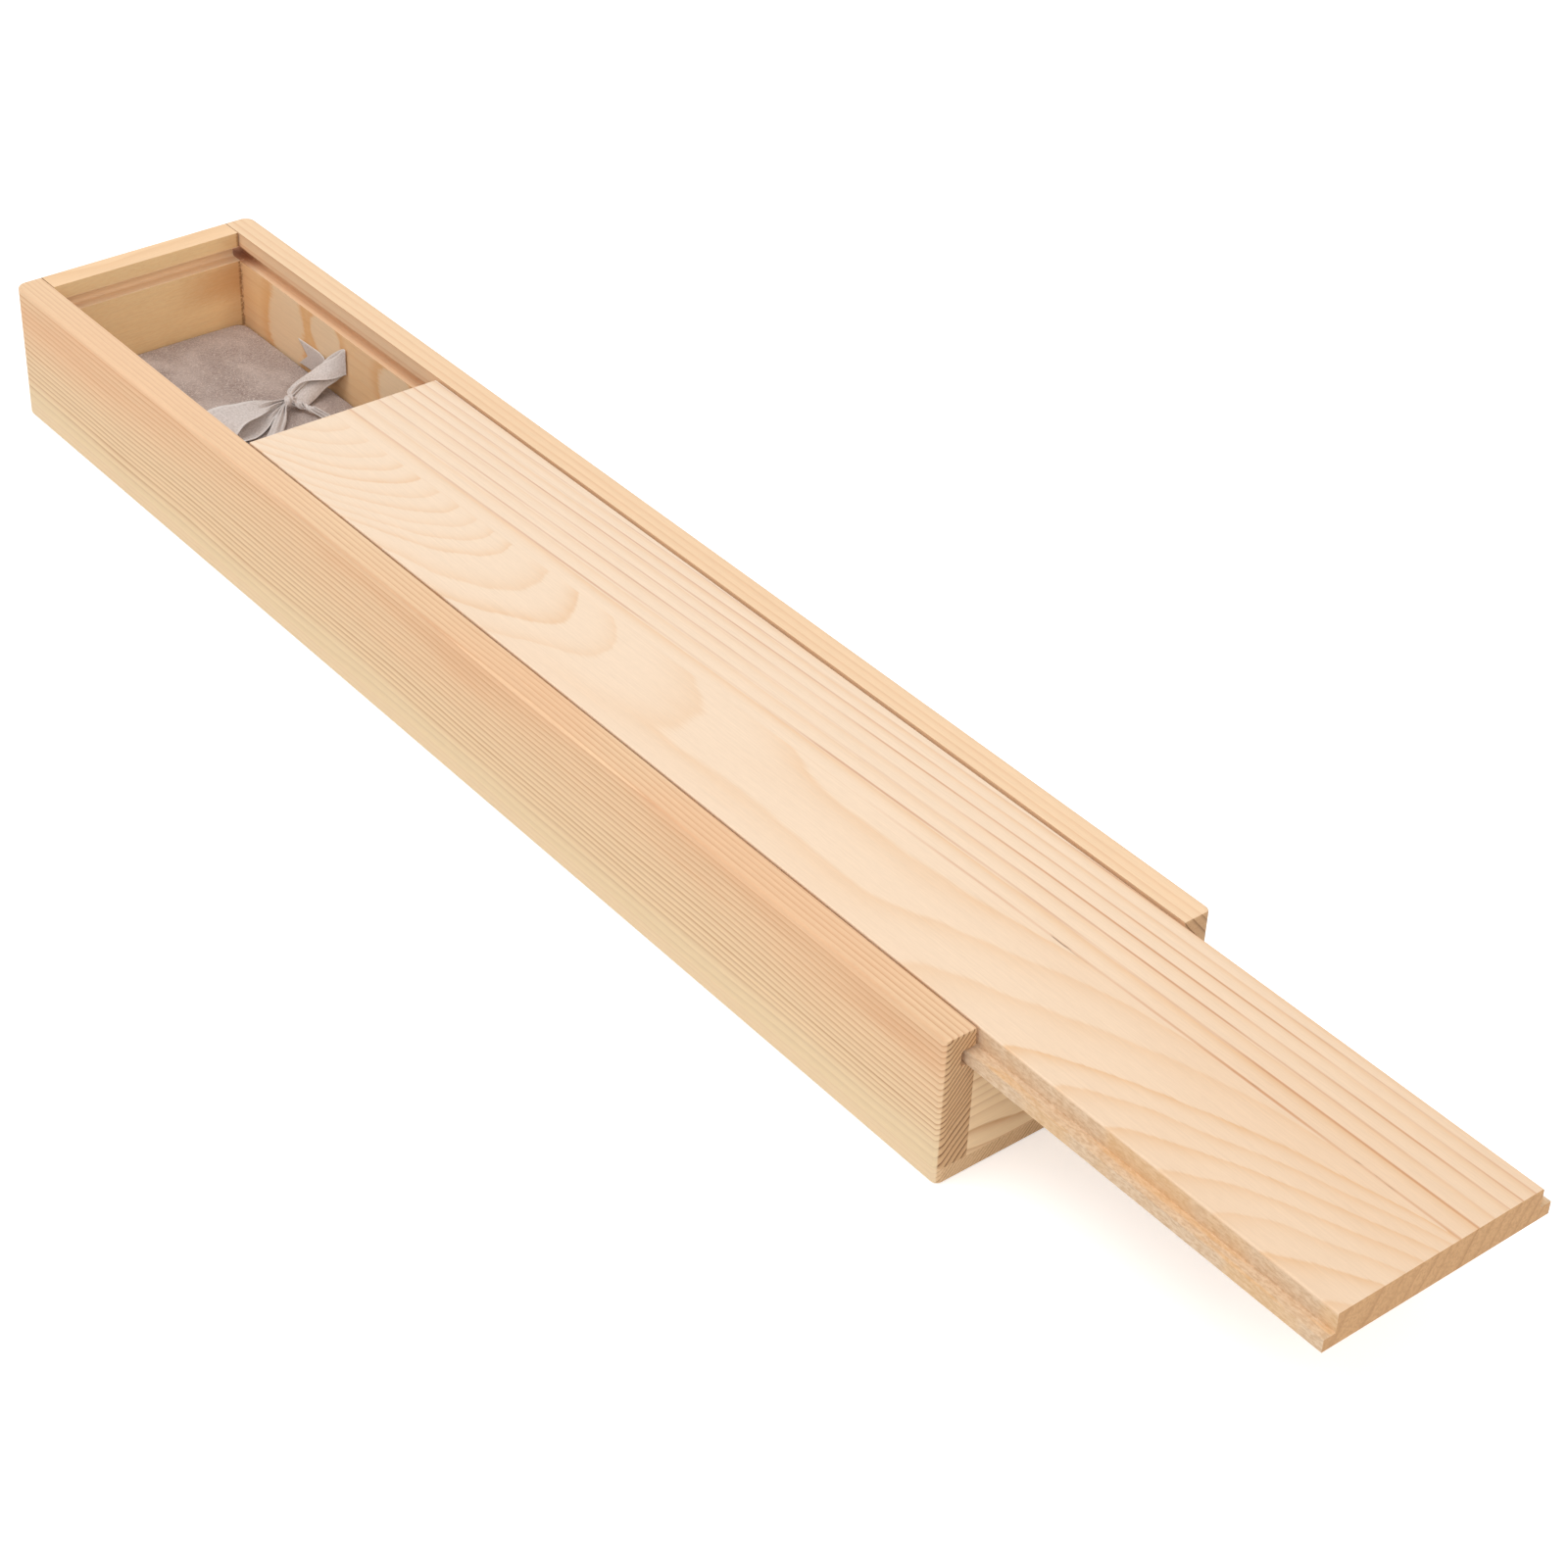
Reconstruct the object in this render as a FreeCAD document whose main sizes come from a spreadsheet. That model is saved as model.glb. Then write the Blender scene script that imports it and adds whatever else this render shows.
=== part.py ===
import FreeCAD, Part
import math
import os
import Sketcher

# Sliding lid wooden box, in millimetres.
# +Z is up, +Y runs along the box to its closed far end, +X is the right-hand side.
# The origin is the centre of the underside. The lid is modelled drawn out over the near end.

doc = FreeCAD.newDocument("SlidingLidBox")
Vector = FreeCAD.Vector

# Driving sizes
SIZES = [
    ("box_length", 450.0, "outside length of the box"),
    ("box_width", 85.0, "outside width"),
    ("box_height", 45.0, "outside height"),
    ("side_thickness", 9.3, "sides, below the groove"),
    ("end_thickness", 8.8, "far and near end boards, below the groove"),
    ("bottom_thickness", 5.0, "bottom board"),
    ("lip_height", 5.0, "wood left above the groove"),
    ("lip_setback", 0.3, "how far the lip stands back from the wall below"),
    ("groove_height", 4.8, "height of the groove"),
    ("groove_depth", 4.5, "depth of the groove from the wall below"),
    ("groove_corner", 0.8, "rounding in the back corners of the groove"),
    ("near_corner", 2.0, "rounding of the upright corners at the near end"),
    ("far_corner", 3.5, "rounding of the upright corners at the far end"),
    ("edge_ease", 0.8, "rounding of the outer long edges"),
    ("lid_drawn", 115.0, "how far the lid is drawn out"),
    ("lid_lift", 0.3, "gap under the lid's tongues"),
    ("lid_sink", 0.1, "how far the lid's top lies below the rim"),
    ("tongue_slack", 0.8, "gap between a tongue and the lip above it"),
    ("lid_side_gap", 1.0, "gap between the lid's upper part and each lip"),
    ("lid_end_gap", 1.5, "the same gap at the far end, lid closed"),
    ("tongue_end_gap", 1.6, "gap between a tongue and the back of its groove"),
    ("lid_edge_ease", 0.4, "rounding of the lid's upper edges"),
    ("pad_height", 9.0, "height of the pad at its sides"),
    ("pad_crown", 1.2, "rise of the pad's middle above its sides"),
    ("pad_gap", 0.4, "gap between the pad and the walls"),
    ("pad_corner", 5.0, "rounding of the pad's upright corners"),
    ("pad_edge", 3.0, "rounding of the pad's upper edges"),
    ("cover_thickness", 0.8, "velvet cover"),
    ("core_gap", 0.2, "slack between the cover and the core, sides and top"),
    ("ribbon_width", 10.0, "width of the ribbon"),
    ("ribbon_thickness", 0.6, "thickness of the ribbon"),
    ("ribbon_gap", 0.3, "gap between the ribbon and the pad or wall"),
    ("bow_from_wall", 20.0, "middle of the knot to the right wall"),
    ("bow_from_far_end", 60.7, "middle of the knot to the far end's wall"),
    ("knot_length", 5.0, "length of the knot"),
    ("knot_radius", 2.8, "half the height of the knot"),
    ("loop_reach", 30.0, "length of the left loop"),
    ("loop_radius", 3.5, "end radius of the left loop"),
    ("wall_loop_radius", 4.0, "end radius of the right loop, which leans on the wall"),
    ("gather_length", 12.0, "length over which a loop widens from the knot"),
    ("wall_tail_run", 9.4, "length of the tail that lies along the right wall"),
    ("near_tail_run", 18.0, "length of the tail that lies flat under the lid"),
    ("tail_bend", 6.0, "radius of a tail's bend"),
    ("twist_length", 32.0, "length of the twisted tail"),
    ("twist_width", 3.0, "width of the twisted tail"),
    ("notch_depth", 5.0, "depth of the notch cut in a tail's end"),
]

# Turns of the bow's pieces about the upright, their slopes, and the twisted tail's steps, in degrees
KNOT_TURN = 190
LEFT_LOOP_TURN = 182
LEFT_LOOP_TILT = 2
RIGHT_LOOP_TILT = 26
WALL_TAIL_TURN = 32
NEAR_TAIL_TURN = 222
NEAR_TAIL_SLOPE = 12
TWISTED_TAIL_TURN = 290
TWIST_STEP = 50
TWIST_SECTIONS = 4

sheet = doc.addObject("Spreadsheet::Sheet", "Sizes")
for row, (alias, value, note) in enumerate(SIZES, start=1):
    sheet.set(f"A{row}", alias)
    sheet.set(f"B{row}", str(value))
    sheet.set(f"C{row}", note)
    sheet.setAlias(f"B{row}", alias)
doc.recompute()


def size(alias):
    """A driving size as a number, for first guesses and for code that needs one."""
    return float(sheet.get(alias))


# Places and sizes that several pieces share, as expressions on the sheet
NOTHING = "0"
RIM = "Sizes.box_height"
LIP_UNDERSIDE = f"({RIM} - Sizes.lip_height)"
LEDGE = f"({LIP_UNDERSIDE} - Sizes.groove_height)"
HALF_LENGTH = "(Sizes.box_length / 2)"
HALF_WIDTH = "(Sizes.box_width / 2)"
WALL_X = f"({HALF_WIDTH} - Sizes.side_thickness)"
FAR_WALL_Y = f"({HALF_LENGTH} - Sizes.end_thickness)"
TONGUE_REACH = "(Sizes.groove_depth - Sizes.lip_setback + Sizes.lid_side_gap - Sizes.tongue_end_gap)"
PLATEAU_X = f"({WALL_X} + Sizes.lip_setback - Sizes.lid_side_gap)"
LID_UNDERSIDE = f"({LEDGE} + Sizes.lid_lift)"
TONGUE_TOP = f"({LIP_UNDERSIDE} - Sizes.tongue_slack)"
LID_TOP = f"({RIM} - Sizes.lid_sink)"
PLATEAU_LENGTH = f"({HALF_LENGTH} + {FAR_WALL_Y} + Sizes.lip_setback - Sizes.lid_end_gap)"
LID_LENGTH = f"({PLATEAU_LENGTH} + {TONGUE_REACH})"
PAD_TOP = "(Sizes.bottom_thickness + Sizes.pad_height + Sizes.pad_crown)"
BOW_X = f"({WALL_X} - Sizes.bow_from_wall)"
BOW_Y = f"({FAR_WALL_Y} - Sizes.bow_from_far_end)"
BOW_Z = f"({PAD_TOP} + Sizes.ribbon_gap)"


def new_body(label):
    body = doc.addObject("PartDesign::Body", label)
    body.Label = label
    return body


def origin_plane(body, role):
    return next(plane for plane in body.Origin.OriginFeatures if plane.Role == role)


def new_sketch(body, name, role):
    sketch = body.newObject("Sketcher::SketchObject", name)
    sketch.AttachmentSupport = (origin_plane(body, role), [""])
    sketch.MapMode = "FlatFace"
    return sketch


def drive(sketch, constraint, expression):
    """Add a constraint whose value is an expression on the sheet."""
    index = sketch.addConstraint(constraint)
    sketch.setExpression(f"Constraints[{index}]", expression)


def add_outline(sketch, corners):
    """A closed outline through corners, each a pair of expressions from the origin.
    It starts as a regular polygon, which the constraints then pull into shape."""
    count = len(corners)
    first = sketch.GeometryCount
    angles = [math.tau * k / count for k in range(count)]
    start = [Vector(math.cos(angle), math.sin(angle), 0) for angle in angles]
    for k in range(count):
        sketch.addGeometry(Part.LineSegment(start[k], start[(k + 1) % count]))
    for k in range(count):
        following = first + (k + 1) % count
        sketch.addConstraint(Sketcher.Constraint("Coincident", first + k, 2, following, 1))
    for k, (x, y) in enumerate(corners):
        drive(sketch, Sketcher.Constraint("DistanceX", -1, 1, first + k, 1, start[k].x), x)
        drive(sketch, Sketcher.Constraint("DistanceY", -1, 1, first + k, 1, start[k].y), y)


def rectangle_corners(left, right, low, high):
    return [(left, low), (right, low), (right, high), (left, high)]


def add_pad(body, sketch, length, symmetric=True, reverse=False):
    pad = body.newObject("PartDesign::Pad", sketch.Name + "Pad")
    pad.Profile = sketch
    pad.SideType = "Symmetric" if symmetric else "One side"
    pad.Reversed = reverse
    pad.setExpression("Length", length)
    sketch.Visibility = False
    doc.recompute()
    return pad


def cut_through(body, sketch, length):
    """Cut the sketch's outline both ways from its plane, and check that something went."""
    before = body.Shape.Volume
    pocket = body.newObject("PartDesign::Pocket", sketch.Name + "Cut")
    pocket.Profile = sketch
    pocket.Type = "Length"
    pocket.SideType = "Symmetric"
    pocket.setExpression("Length", length)
    doc.recompute()
    if not pocket.Shape.Volume < before:
        raise RuntimeError(f"{sketch.Name} cut nothing from {body.Label}")
    return pocket


def edges_where(feature, test):
    """Names of the feature's edges that pass test(edge, box), box being the solid's extent."""
    box = feature.Shape.BoundBox
    edges = enumerate(feature.Shape.Edges, start=1)
    return [f"Edge{number}" for number, edge in edges if test(edge, box)]


def round_edges(body, feature, names, radius):
    if not names:
        raise RuntimeError(f"no edges to round on {body.Label}")
    fillet = body.newObject("PartDesign::Fillet", feature.Name + "Round")
    fillet.Base = (feature, names)
    fillet.setExpression("Radius", radius)
    doc.recompute()
    return fillet


NEAR = 1e-4


def runs_along(edge, axis):
    """True for a straight edge along x, y or z, named by its index."""
    span = [edge.BoundBox.XLength, edge.BoundBox.YLength, edge.BoundBox.ZLength]
    return span[axis] > NEAR and sum(span) - span[axis] < NEAR


def same(a, b):
    return abs(a - b) < NEAR


# Boards cut from one grooved moulding

def moulding_corners(outside, inward, wall):
    """Section of the moulding: outside face, wall face, groove and lip.
    outside and wall are where those faces stand, and inward is the sign from one to the other."""
    back = f"({wall} - ({inward}) * Sizes.groove_depth)"
    lip = f"({wall} - ({inward}) * Sizes.lip_setback)"
    return [
        (outside, "Sizes.bottom_thickness"),
        (wall, "Sizes.bottom_thickness"),
        (wall, LEDGE),
        (back, LEDGE),
        (back, LIP_UNDERSIDE),
        (lip, LIP_UNDERSIDE),
        (lip, RIM),
        (outside, RIM),
    ]


def groove_back_edges(pad, along, across):
    """The two inner corners at the back of the groove, one groove depth in from the wall face.
    along and across are the axes that run along and across the board."""
    def test(edge, box):
        low = (box.XMin, box.YMin)[across]
        high = (box.XMax, box.YMax)[across]
        place = (edge.BoundBox.XMin, edge.BoundBox.YMin)[across]
        depth = size("groove_depth")
        return runs_along(edge, along) and (same(place - low, depth) or same(high - place, depth))
    return edges_where(pad, test)


def side_board(label, side):
    """A long side. side is -1 on the left and 1 on the right."""
    body = new_body(label)
    sketch = new_sketch(body, label + "_section", "XZ_Plane")
    outside = f"({side} * {HALF_WIDTH})"
    wall = f"({side} * {WALL_X})"
    add_outline(sketch, moulding_corners(outside, str(-side), wall))
    board = add_pad(body, sketch, "Sizes.box_length")
    board = round_edges(body, board, groove_back_edges(board, 1, 0), "Sizes.groove_corner")

    def outer_upright(edge, box, end):
        outer = box.XMin if side < 0 else box.XMax
        return runs_along(edge, 2) and same(edge.BoundBox.XMin, outer) and same(edge.BoundBox.YMin, end)

    near_edges = edges_where(board, lambda edge, box: outer_upright(edge, box, box.YMin))
    board = round_edges(body, board, near_edges, "Sizes.near_corner")
    far_edges = edges_where(board, lambda edge, box: outer_upright(edge, box, box.YMax))
    board = round_edges(body, board, far_edges, "Sizes.far_corner")

    def top_outer(edge, box):
        outer = box.XMin if side < 0 else box.XMax
        on_top = same(edge.BoundBox.ZMin, box.ZMax)
        return on_top and runs_along(edge, 1) and same(edge.BoundBox.XMin, outer)

    board = round_edges(body, board, edges_where(board, top_outer), "Sizes.edge_ease")
    return body


def make_far_end():
    """The board that closes the box at its far end, with the lid's groove across its inner face."""
    body = new_body("far_end")
    sketch = new_sketch(body, "far_end_section", "YZ_Plane")
    add_outline(sketch, moulding_corners(HALF_LENGTH, "-1", FAR_WALL_Y))
    board = add_pad(body, sketch, f"2 * {WALL_X}")
    board = round_edges(body, board, groove_back_edges(board, 0, 1), "Sizes.groove_corner")

    def top_outer(edge, box):
        return runs_along(edge, 0) and same(edge.BoundBox.ZMin, box.ZMax) and same(edge.BoundBox.YMin, box.YMax)

    round_edges(body, board, edges_where(board, top_outer), "Sizes.edge_ease")
    return body


def make_near_end():
    """The low board at the near end. Its top is level with the grooves, so that the lid passes over it."""
    body = new_body("near_end")
    sketch = new_sketch(body, "near_end_section", "YZ_Plane")
    outside = f"-{HALF_LENGTH}"
    inside = f"(-{HALF_LENGTH} + Sizes.end_thickness)"
    add_outline(sketch, rectangle_corners(outside, inside, "Sizes.bottom_thickness", LEDGE))
    add_pad(body, sketch, f"2 * {WALL_X}")
    return body


def make_bottom():
    """The bottom board, under the sides and ends."""
    body = new_body("bottom_board")
    sketch = new_sketch(body, "bottom_outline", "XY_Plane")
    add_outline(sketch, rectangle_corners(f"-{HALF_WIDTH}", HALF_WIDTH, f"-{HALF_LENGTH}", HALF_LENGTH))
    board = add_pad(body, sketch, "Sizes.bottom_thickness", symmetric=False)

    def upright(edge, end):
        return runs_along(edge, 2) and same(edge.BoundBox.YMin, end)

    near_edges = edges_where(board, lambda edge, box: upright(edge, box.YMin))
    board = round_edges(body, board, near_edges, "Sizes.near_corner")
    far_edges = edges_where(board, lambda edge, box: upright(edge, box.YMax))
    board = round_edges(body, board, far_edges, "Sizes.far_corner")

    def underside(edge, box):
        return same(edge.BoundBox.ZMax, box.ZMin)

    round_edges(body, board, edges_where(board, underside), "Sizes.edge_ease")
    return body


# The lid

def make_lid():
    """One board, rabbeted along both sides and the far end. What is left below each rabbet
    is a tongue that runs in the groove."""
    body = new_body("lid")
    sketch = new_sketch(body, "lid_section", "XZ_Plane")
    tip = f"({PLATEAU_X} + {TONGUE_REACH})"
    add_outline(sketch, [
        (f"-{tip}", LID_UNDERSIDE),
        (tip, LID_UNDERSIDE),
        (tip, TONGUE_TOP),
        (PLATEAU_X, TONGUE_TOP),
        (PLATEAU_X, LID_TOP),
        (f"-{PLATEAU_X}", LID_TOP),
        (f"-{PLATEAU_X}", TONGUE_TOP),
        (f"-{tip}", TONGUE_TOP),
    ])
    add_pad(body, sketch, LID_LENGTH)
    rabbet = new_sketch(body, "lid_far_rabbet", "YZ_Plane")
    far = f"({LID_LENGTH} / 2)"
    shoulder = f"({far} - {TONGUE_REACH})"
    beyond = f"({far} + Sizes.lip_height)"
    above = f"({LID_TOP} + Sizes.lip_height)"
    add_outline(rabbet, rectangle_corners(shoulder, beyond, TONGUE_TOP, above))
    board = cut_through(body, rabbet, "Sizes.box_width")

    def upper(edge, box):
        return same(edge.BoundBox.ZMin, box.ZMax)

    round_edges(body, board, edges_where(board, upper), "Sizes.lid_edge_ease")
    body.setExpression("Placement.Base.y", f"-{HALF_LENGTH} + {LID_LENGTH} / 2 - Sizes.lid_drawn")
    return body


# The pad

def pad_form(label, inset, rise):
    """A long low pad with a crowned top. inset draws in its sides and top, and rise lifts its base."""
    body = new_body(label)
    sketch = new_sketch(body, label + "_section", "XZ_Plane")
    half = f"({WALL_X} - Sizes.pad_gap - {inset})"
    low = f"(Sizes.bottom_thickness + {rise})"
    shoulder = f"(Sizes.bottom_thickness + Sizes.pad_height - {inset})"
    half_guess = size("box_width") / 2 - size("side_thickness") - size("pad_gap")
    low_guess = size("bottom_thickness")
    shoulder_guess = low_guess + size("pad_height")
    corners = [
        Vector(-half_guess, shoulder_guess, 0),
        Vector(-half_guess, low_guess, 0),
        Vector(half_guess, low_guess, 0),
        Vector(half_guess, shoulder_guess, 0),
    ]
    for start, end in zip(corners, corners[1:]):
        sketch.addGeometry(Part.LineSegment(start, end))
    crown = Vector(0, shoulder_guess + size("pad_crown"), 0)
    sketch.addGeometry(Part.Arc(corners[3], crown, corners[0]))
    last = len(corners) - 1
    for k in range(last):
        sketch.addConstraint(Sketcher.Constraint("Coincident", k, 2, k + 1, 1))
    sketch.addConstraint(Sketcher.Constraint("Coincident", last, 2, 0, 1))
    places = [(f"-{half}", shoulder), (f"-{half}", low), (half, low)]
    for k, (x, y) in enumerate(places):
        drive(sketch, Sketcher.Constraint("DistanceX", -1, 1, k, 1, corners[k].x), x)
        drive(sketch, Sketcher.Constraint("DistanceY", -1, 1, k, 1, corners[k].y), y)
    drive(sketch, Sketcher.Constraint("DistanceX", -1, 1, last, 1, half_guess), half)
    drive(sketch, Sketcher.Constraint("DistanceY", -1, 1, last, 1, shoulder_guess), shoulder)
    crown_radius = f"({half} * {half} / Sizes.pad_crown + Sizes.pad_crown) / 2"
    radius_guess = (half_guess ** 2 / size("pad_crown") + size("pad_crown")) / 2
    drive(sketch, Sketcher.Constraint("Radius", last, radius_guess), crown_radius)
    length = f"(2 * {HALF_LENGTH} - 2 * Sizes.end_thickness - 2 * Sizes.pad_gap - 2 * {inset})"
    block = add_pad(body, sketch, length)
    uprights = edges_where(block, lambda edge, box: runs_along(edge, 2))
    block = round_edges(body, block, uprights, f"Sizes.pad_corner - {inset}")

    def upper(edge, box):
        shoulder_height = box.ZMax - size("pad_crown")
        return edge.BoundBox.ZMin > shoulder_height - NEAR

    round_edges(body, block, edges_where(block, upper), f"Sizes.pad_edge - {inset}")
    return body


def make_pad():
    """A filled pad: a soft core in a velvet cover that closes all round it."""
    outer = pad_form("pad_outer", NOTHING, NOTHING)
    hollow = pad_form("pad_hollow", "Sizes.cover_thickness", "Sizes.cover_thickness")
    cover = doc.addObject("Part::Cut", "pad_cover")
    cover.Label = "pad_cover"
    cover.Base = outer
    cover.Tool = hollow
    core = pad_form("pad_core", "(Sizes.cover_thickness + Sizes.core_gap)", "Sizes.cover_thickness")
    return cover, core


# The ribbon, tied in a bow

def teardrop(sketch, reach, radius, reach_guess, radius_guess, inner_of=None):
    """Two straight runs from a point, joined by an arc that they are tangent to.
    inner_of is the first line of an outer teardrop that this one runs parallel to."""
    centre = reach_guess - radius_guess
    along = (centre ** 2 - radius_guess ** 2) / centre
    aside = radius_guess * math.sqrt(centre ** 2 - radius_guess ** 2) / centre
    turn = math.acos(-radius_guess / centre)
    circle = Part.Circle(Vector(centre, 0, 0), Vector(0, 0, 1), radius_guess)
    first = sketch.GeometryCount
    sketch.addGeometry(Part.LineSegment(Vector(0, 0, 0), Vector(along, aside, 0)))
    sketch.addGeometry(Part.ArcOfCircle(circle, -turn, turn))
    sketch.addGeometry(Part.LineSegment(Vector(along, -aside, 0), Vector(0, 0, 0)))
    upper, arc, lower = first, first + 1, first + 2
    sketch.addConstraint(Sketcher.Constraint("Tangent", upper, 2, arc, 2))
    sketch.addConstraint(Sketcher.Constraint("Tangent", lower, 1, arc, 1))
    sketch.addConstraint(Sketcher.Constraint("Coincident", lower, 2, upper, 1))
    drive(sketch, Sketcher.Constraint("Radius", arc, radius_guess), radius)
    if inner_of is None:
        sketch.addConstraint(Sketcher.Constraint("Coincident", upper, 1, -1, 1))
        sketch.addConstraint(Sketcher.Constraint("PointOnObject", arc, 3, -1))
        drive(sketch, Sketcher.Constraint("DistanceX", -1, 1, arc, 3, centre), f"{reach} - {radius}")
    else:
        sketch.addConstraint(Sketcher.Constraint("Coincident", arc, 3, inner_of + 1, 3))
        sketch.addConstraint(Sketcher.Constraint("Parallel", upper, inner_of))
        sketch.addConstraint(Sketcher.Constraint("Parallel", lower, inner_of + 2))
    return upper


def set_at_knot(body, turn=0, tilt=0, lift=NOTHING):
    """Set a piece of the bow at the knot, tilted up and then turned about the upright."""
    turning = FreeCAD.Rotation(Vector(0, 0, 1), turn)
    tilting = FreeCAD.Rotation(Vector(0, 1, 0), -tilt)
    body.Placement.Rotation = turning.multiply(tilting)
    body.setExpression("Placement.Base.x", BOW_X)
    body.setExpression("Placement.Base.y", BOW_Y)
    body.setExpression("Placement.Base.z", f"{BOW_Z} + {lift}")


def ribbon_loop(label, reach, radius, reach_guess, radius_guess, turn, tilt):
    """A loop of ribbon, one run above the other, gathered to the knot's width where it leaves it."""
    body = new_body(label)
    sketch = new_sketch(body, label + "_profile", "XZ_Plane")
    outer = teardrop(sketch, reach, radius, reach_guess, radius_guess)
    thin = size("ribbon_thickness")
    inner_radius = f"({radius} - Sizes.ribbon_thickness)"
    teardrop(sketch, reach, inner_radius, reach_guess - thin, radius_guess - thin, inner_of=outer)
    add_pad(body, sketch, "Sizes.ribbon_width")
    gather = new_sketch(body, label + "_gather", "XY_Plane")
    half = "(Sizes.ribbon_width / 2)"
    pinched = "(Sizes.knot_length / 2)"
    for side in ("1", "-1"):
        add_outline(gather, [
            (NOTHING, f"{side} * {pinched}"),
            ("Sizes.gather_length", f"{side} * {half}"),
            ("Sizes.gather_length", f"{side} * Sizes.ribbon_width"),
            (NOTHING, f"{side} * Sizes.ribbon_width"),
        ])
    cut_through(body, gather, "2 * Sizes.ribbon_width")
    set_at_knot(body, turn, tilt, lift="Sizes.knot_radius")
    return body


def bent_path(sketch, run, run_guess, end_run, end_guess, degrees):
    """A run along X from the origin, an arc of tail_bend and a second run, turned by degrees."""
    turn = math.radians(degrees)
    bend = size("tail_bend")
    side = math.copysign(1, turn)
    start = Vector(run_guess, 0, 0)
    centre = start + Vector(0, side * bend, 0)
    middle = centre + Vector(math.sin(abs(turn) / 2), -side * math.cos(turn / 2), 0) * bend
    end = centre + Vector(math.sin(abs(turn)), -side * math.cos(turn), 0) * bend
    far = end + Vector(math.cos(turn), math.sin(turn), 0) * end_guess
    sketch.addGeometry(Part.LineSegment(Vector(0, 0, 0), start))
    sketch.addGeometry(Part.Arc(start, middle, end))
    sketch.addGeometry(Part.LineSegment(end, far))
    arc_start, arc_end = (1, 2) if side > 0 else (2, 1)
    sketch.addConstraint(Sketcher.Constraint("Coincident", 0, 1, -1, 1))
    sketch.addConstraint(Sketcher.Constraint("Horizontal", 0))
    sketch.addConstraint(Sketcher.Constraint("Tangent", 0, 2, 1, arc_start))
    sketch.addConstraint(Sketcher.Constraint("Tangent", 1, arc_end, 2, 1))
    drive(sketch, Sketcher.Constraint("Distance", 0, run_guess), run)
    drive(sketch, Sketcher.Constraint("Radius", 1, bend), "Sizes.tail_bend")
    drive(sketch, Sketcher.Constraint("Distance", 2, end_guess), end_run)
    sketch.addConstraint(Sketcher.Constraint("Angle", 2, turn))


def sweep_strip(body, path, corners):
    """Carry the ribbon's section along the path."""
    section = new_sketch(body, path.Name + "_section", "YZ_Plane")
    add_outline(section, corners)
    doc.recompute()
    pipe = body.newObject("PartDesign::AdditivePipe", path.Name + "Pipe")
    pipe.Profile = section
    pipe.Spine = path
    doc.recompute()
    return pipe


def make_wall_tail():
    """The tail that runs to the right wall and along it, standing on its edge, its end notched.
    It is drawn from that end, which lies against the wall, back to the knot."""
    body = new_body("wall_tail")
    turn_sine = f"sin({WALL_TAIL_TURN} deg)"
    turn_cosine = f"cos({WALL_TAIL_TURN} deg)"
    to_wall = "(Sizes.bow_from_wall - Sizes.ribbon_gap - Sizes.ribbon_thickness / 2)"
    slant = f"(({to_wall} - Sizes.tail_bend * (1 - {turn_sine})) / {turn_cosine})"
    path = new_sketch(body, "wall_tail_path", "XY_Plane")
    slant_guess = size("bow_from_wall")
    bent_path(path, "Sizes.wall_tail_run", size("wall_tail_run"), slant, slant_guess, WALL_TAIL_TURN - 90)
    half = "(Sizes.ribbon_thickness / 2)"
    sweep_strip(body, path, rectangle_corners(f"-{half}", half, NOTHING, "Sizes.ribbon_width"))
    notch = new_sketch(body, "wall_tail_notch", "XZ_Plane")
    add_outline(notch, [
        ("-Sizes.notch_depth", NOTHING),
        ("Sizes.notch_depth", "Sizes.ribbon_width / 2"),
        ("-Sizes.notch_depth", "Sizes.ribbon_width"),
    ])
    cut_through(body, notch, "4 * Sizes.ribbon_thickness")
    set_at_knot(body, turn=-90)
    reach = f"({slant} * {turn_sine} + Sizes.tail_bend * {turn_cosine} + Sizes.wall_tail_run)"
    body.setExpression("Placement.Base.x", f"{BOW_X} + {to_wall}")
    body.setExpression("Placement.Base.y", f"{BOW_Y} + {reach}")
    return body


def make_near_tail():
    """The tail that slopes down from the knot and lies flat on the pad, under the lid.
    It is drawn from its far end, which lies flat, back to the knot."""
    body = new_body("near_tail")
    slope_sine = f"sin({NEAR_TAIL_SLOPE} deg)"
    slope_cosine = f"cos({NEAR_TAIL_SLOPE} deg)"
    drop = "(Sizes.knot_radius - Sizes.ribbon_thickness / 2)"
    slant = f"(({drop} - Sizes.tail_bend * (1 - {slope_cosine})) / {slope_sine})"
    slant_guess = size("knot_radius") / math.sin(math.radians(NEAR_TAIL_SLOPE))
    path = new_sketch(body, "near_tail_path", "XZ_Plane")
    bent_path(path, "Sizes.near_tail_run", size("near_tail_run"), slant, slant_guess, NEAR_TAIL_SLOPE)
    half = "(Sizes.ribbon_width / 2)"
    thin = "(Sizes.ribbon_thickness / 2)"
    sweep_strip(body, path, rectangle_corners(f"-{half}", half, f"-{thin}", thin))
    set_at_knot(body, NEAR_TAIL_TURN + 180, lift="Sizes.ribbon_thickness / 2")
    reach = f"({slant} * {slope_cosine} + Sizes.tail_bend * {slope_sine} + Sizes.near_tail_run)"
    body.setExpression("Placement.Base.x", f"{BOW_X} + {reach} * cos({NEAR_TAIL_TURN} deg)")
    body.setExpression("Placement.Base.y", f"{BOW_Y} + {reach} * sin({NEAR_TAIL_TURN} deg)")
    return body


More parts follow.
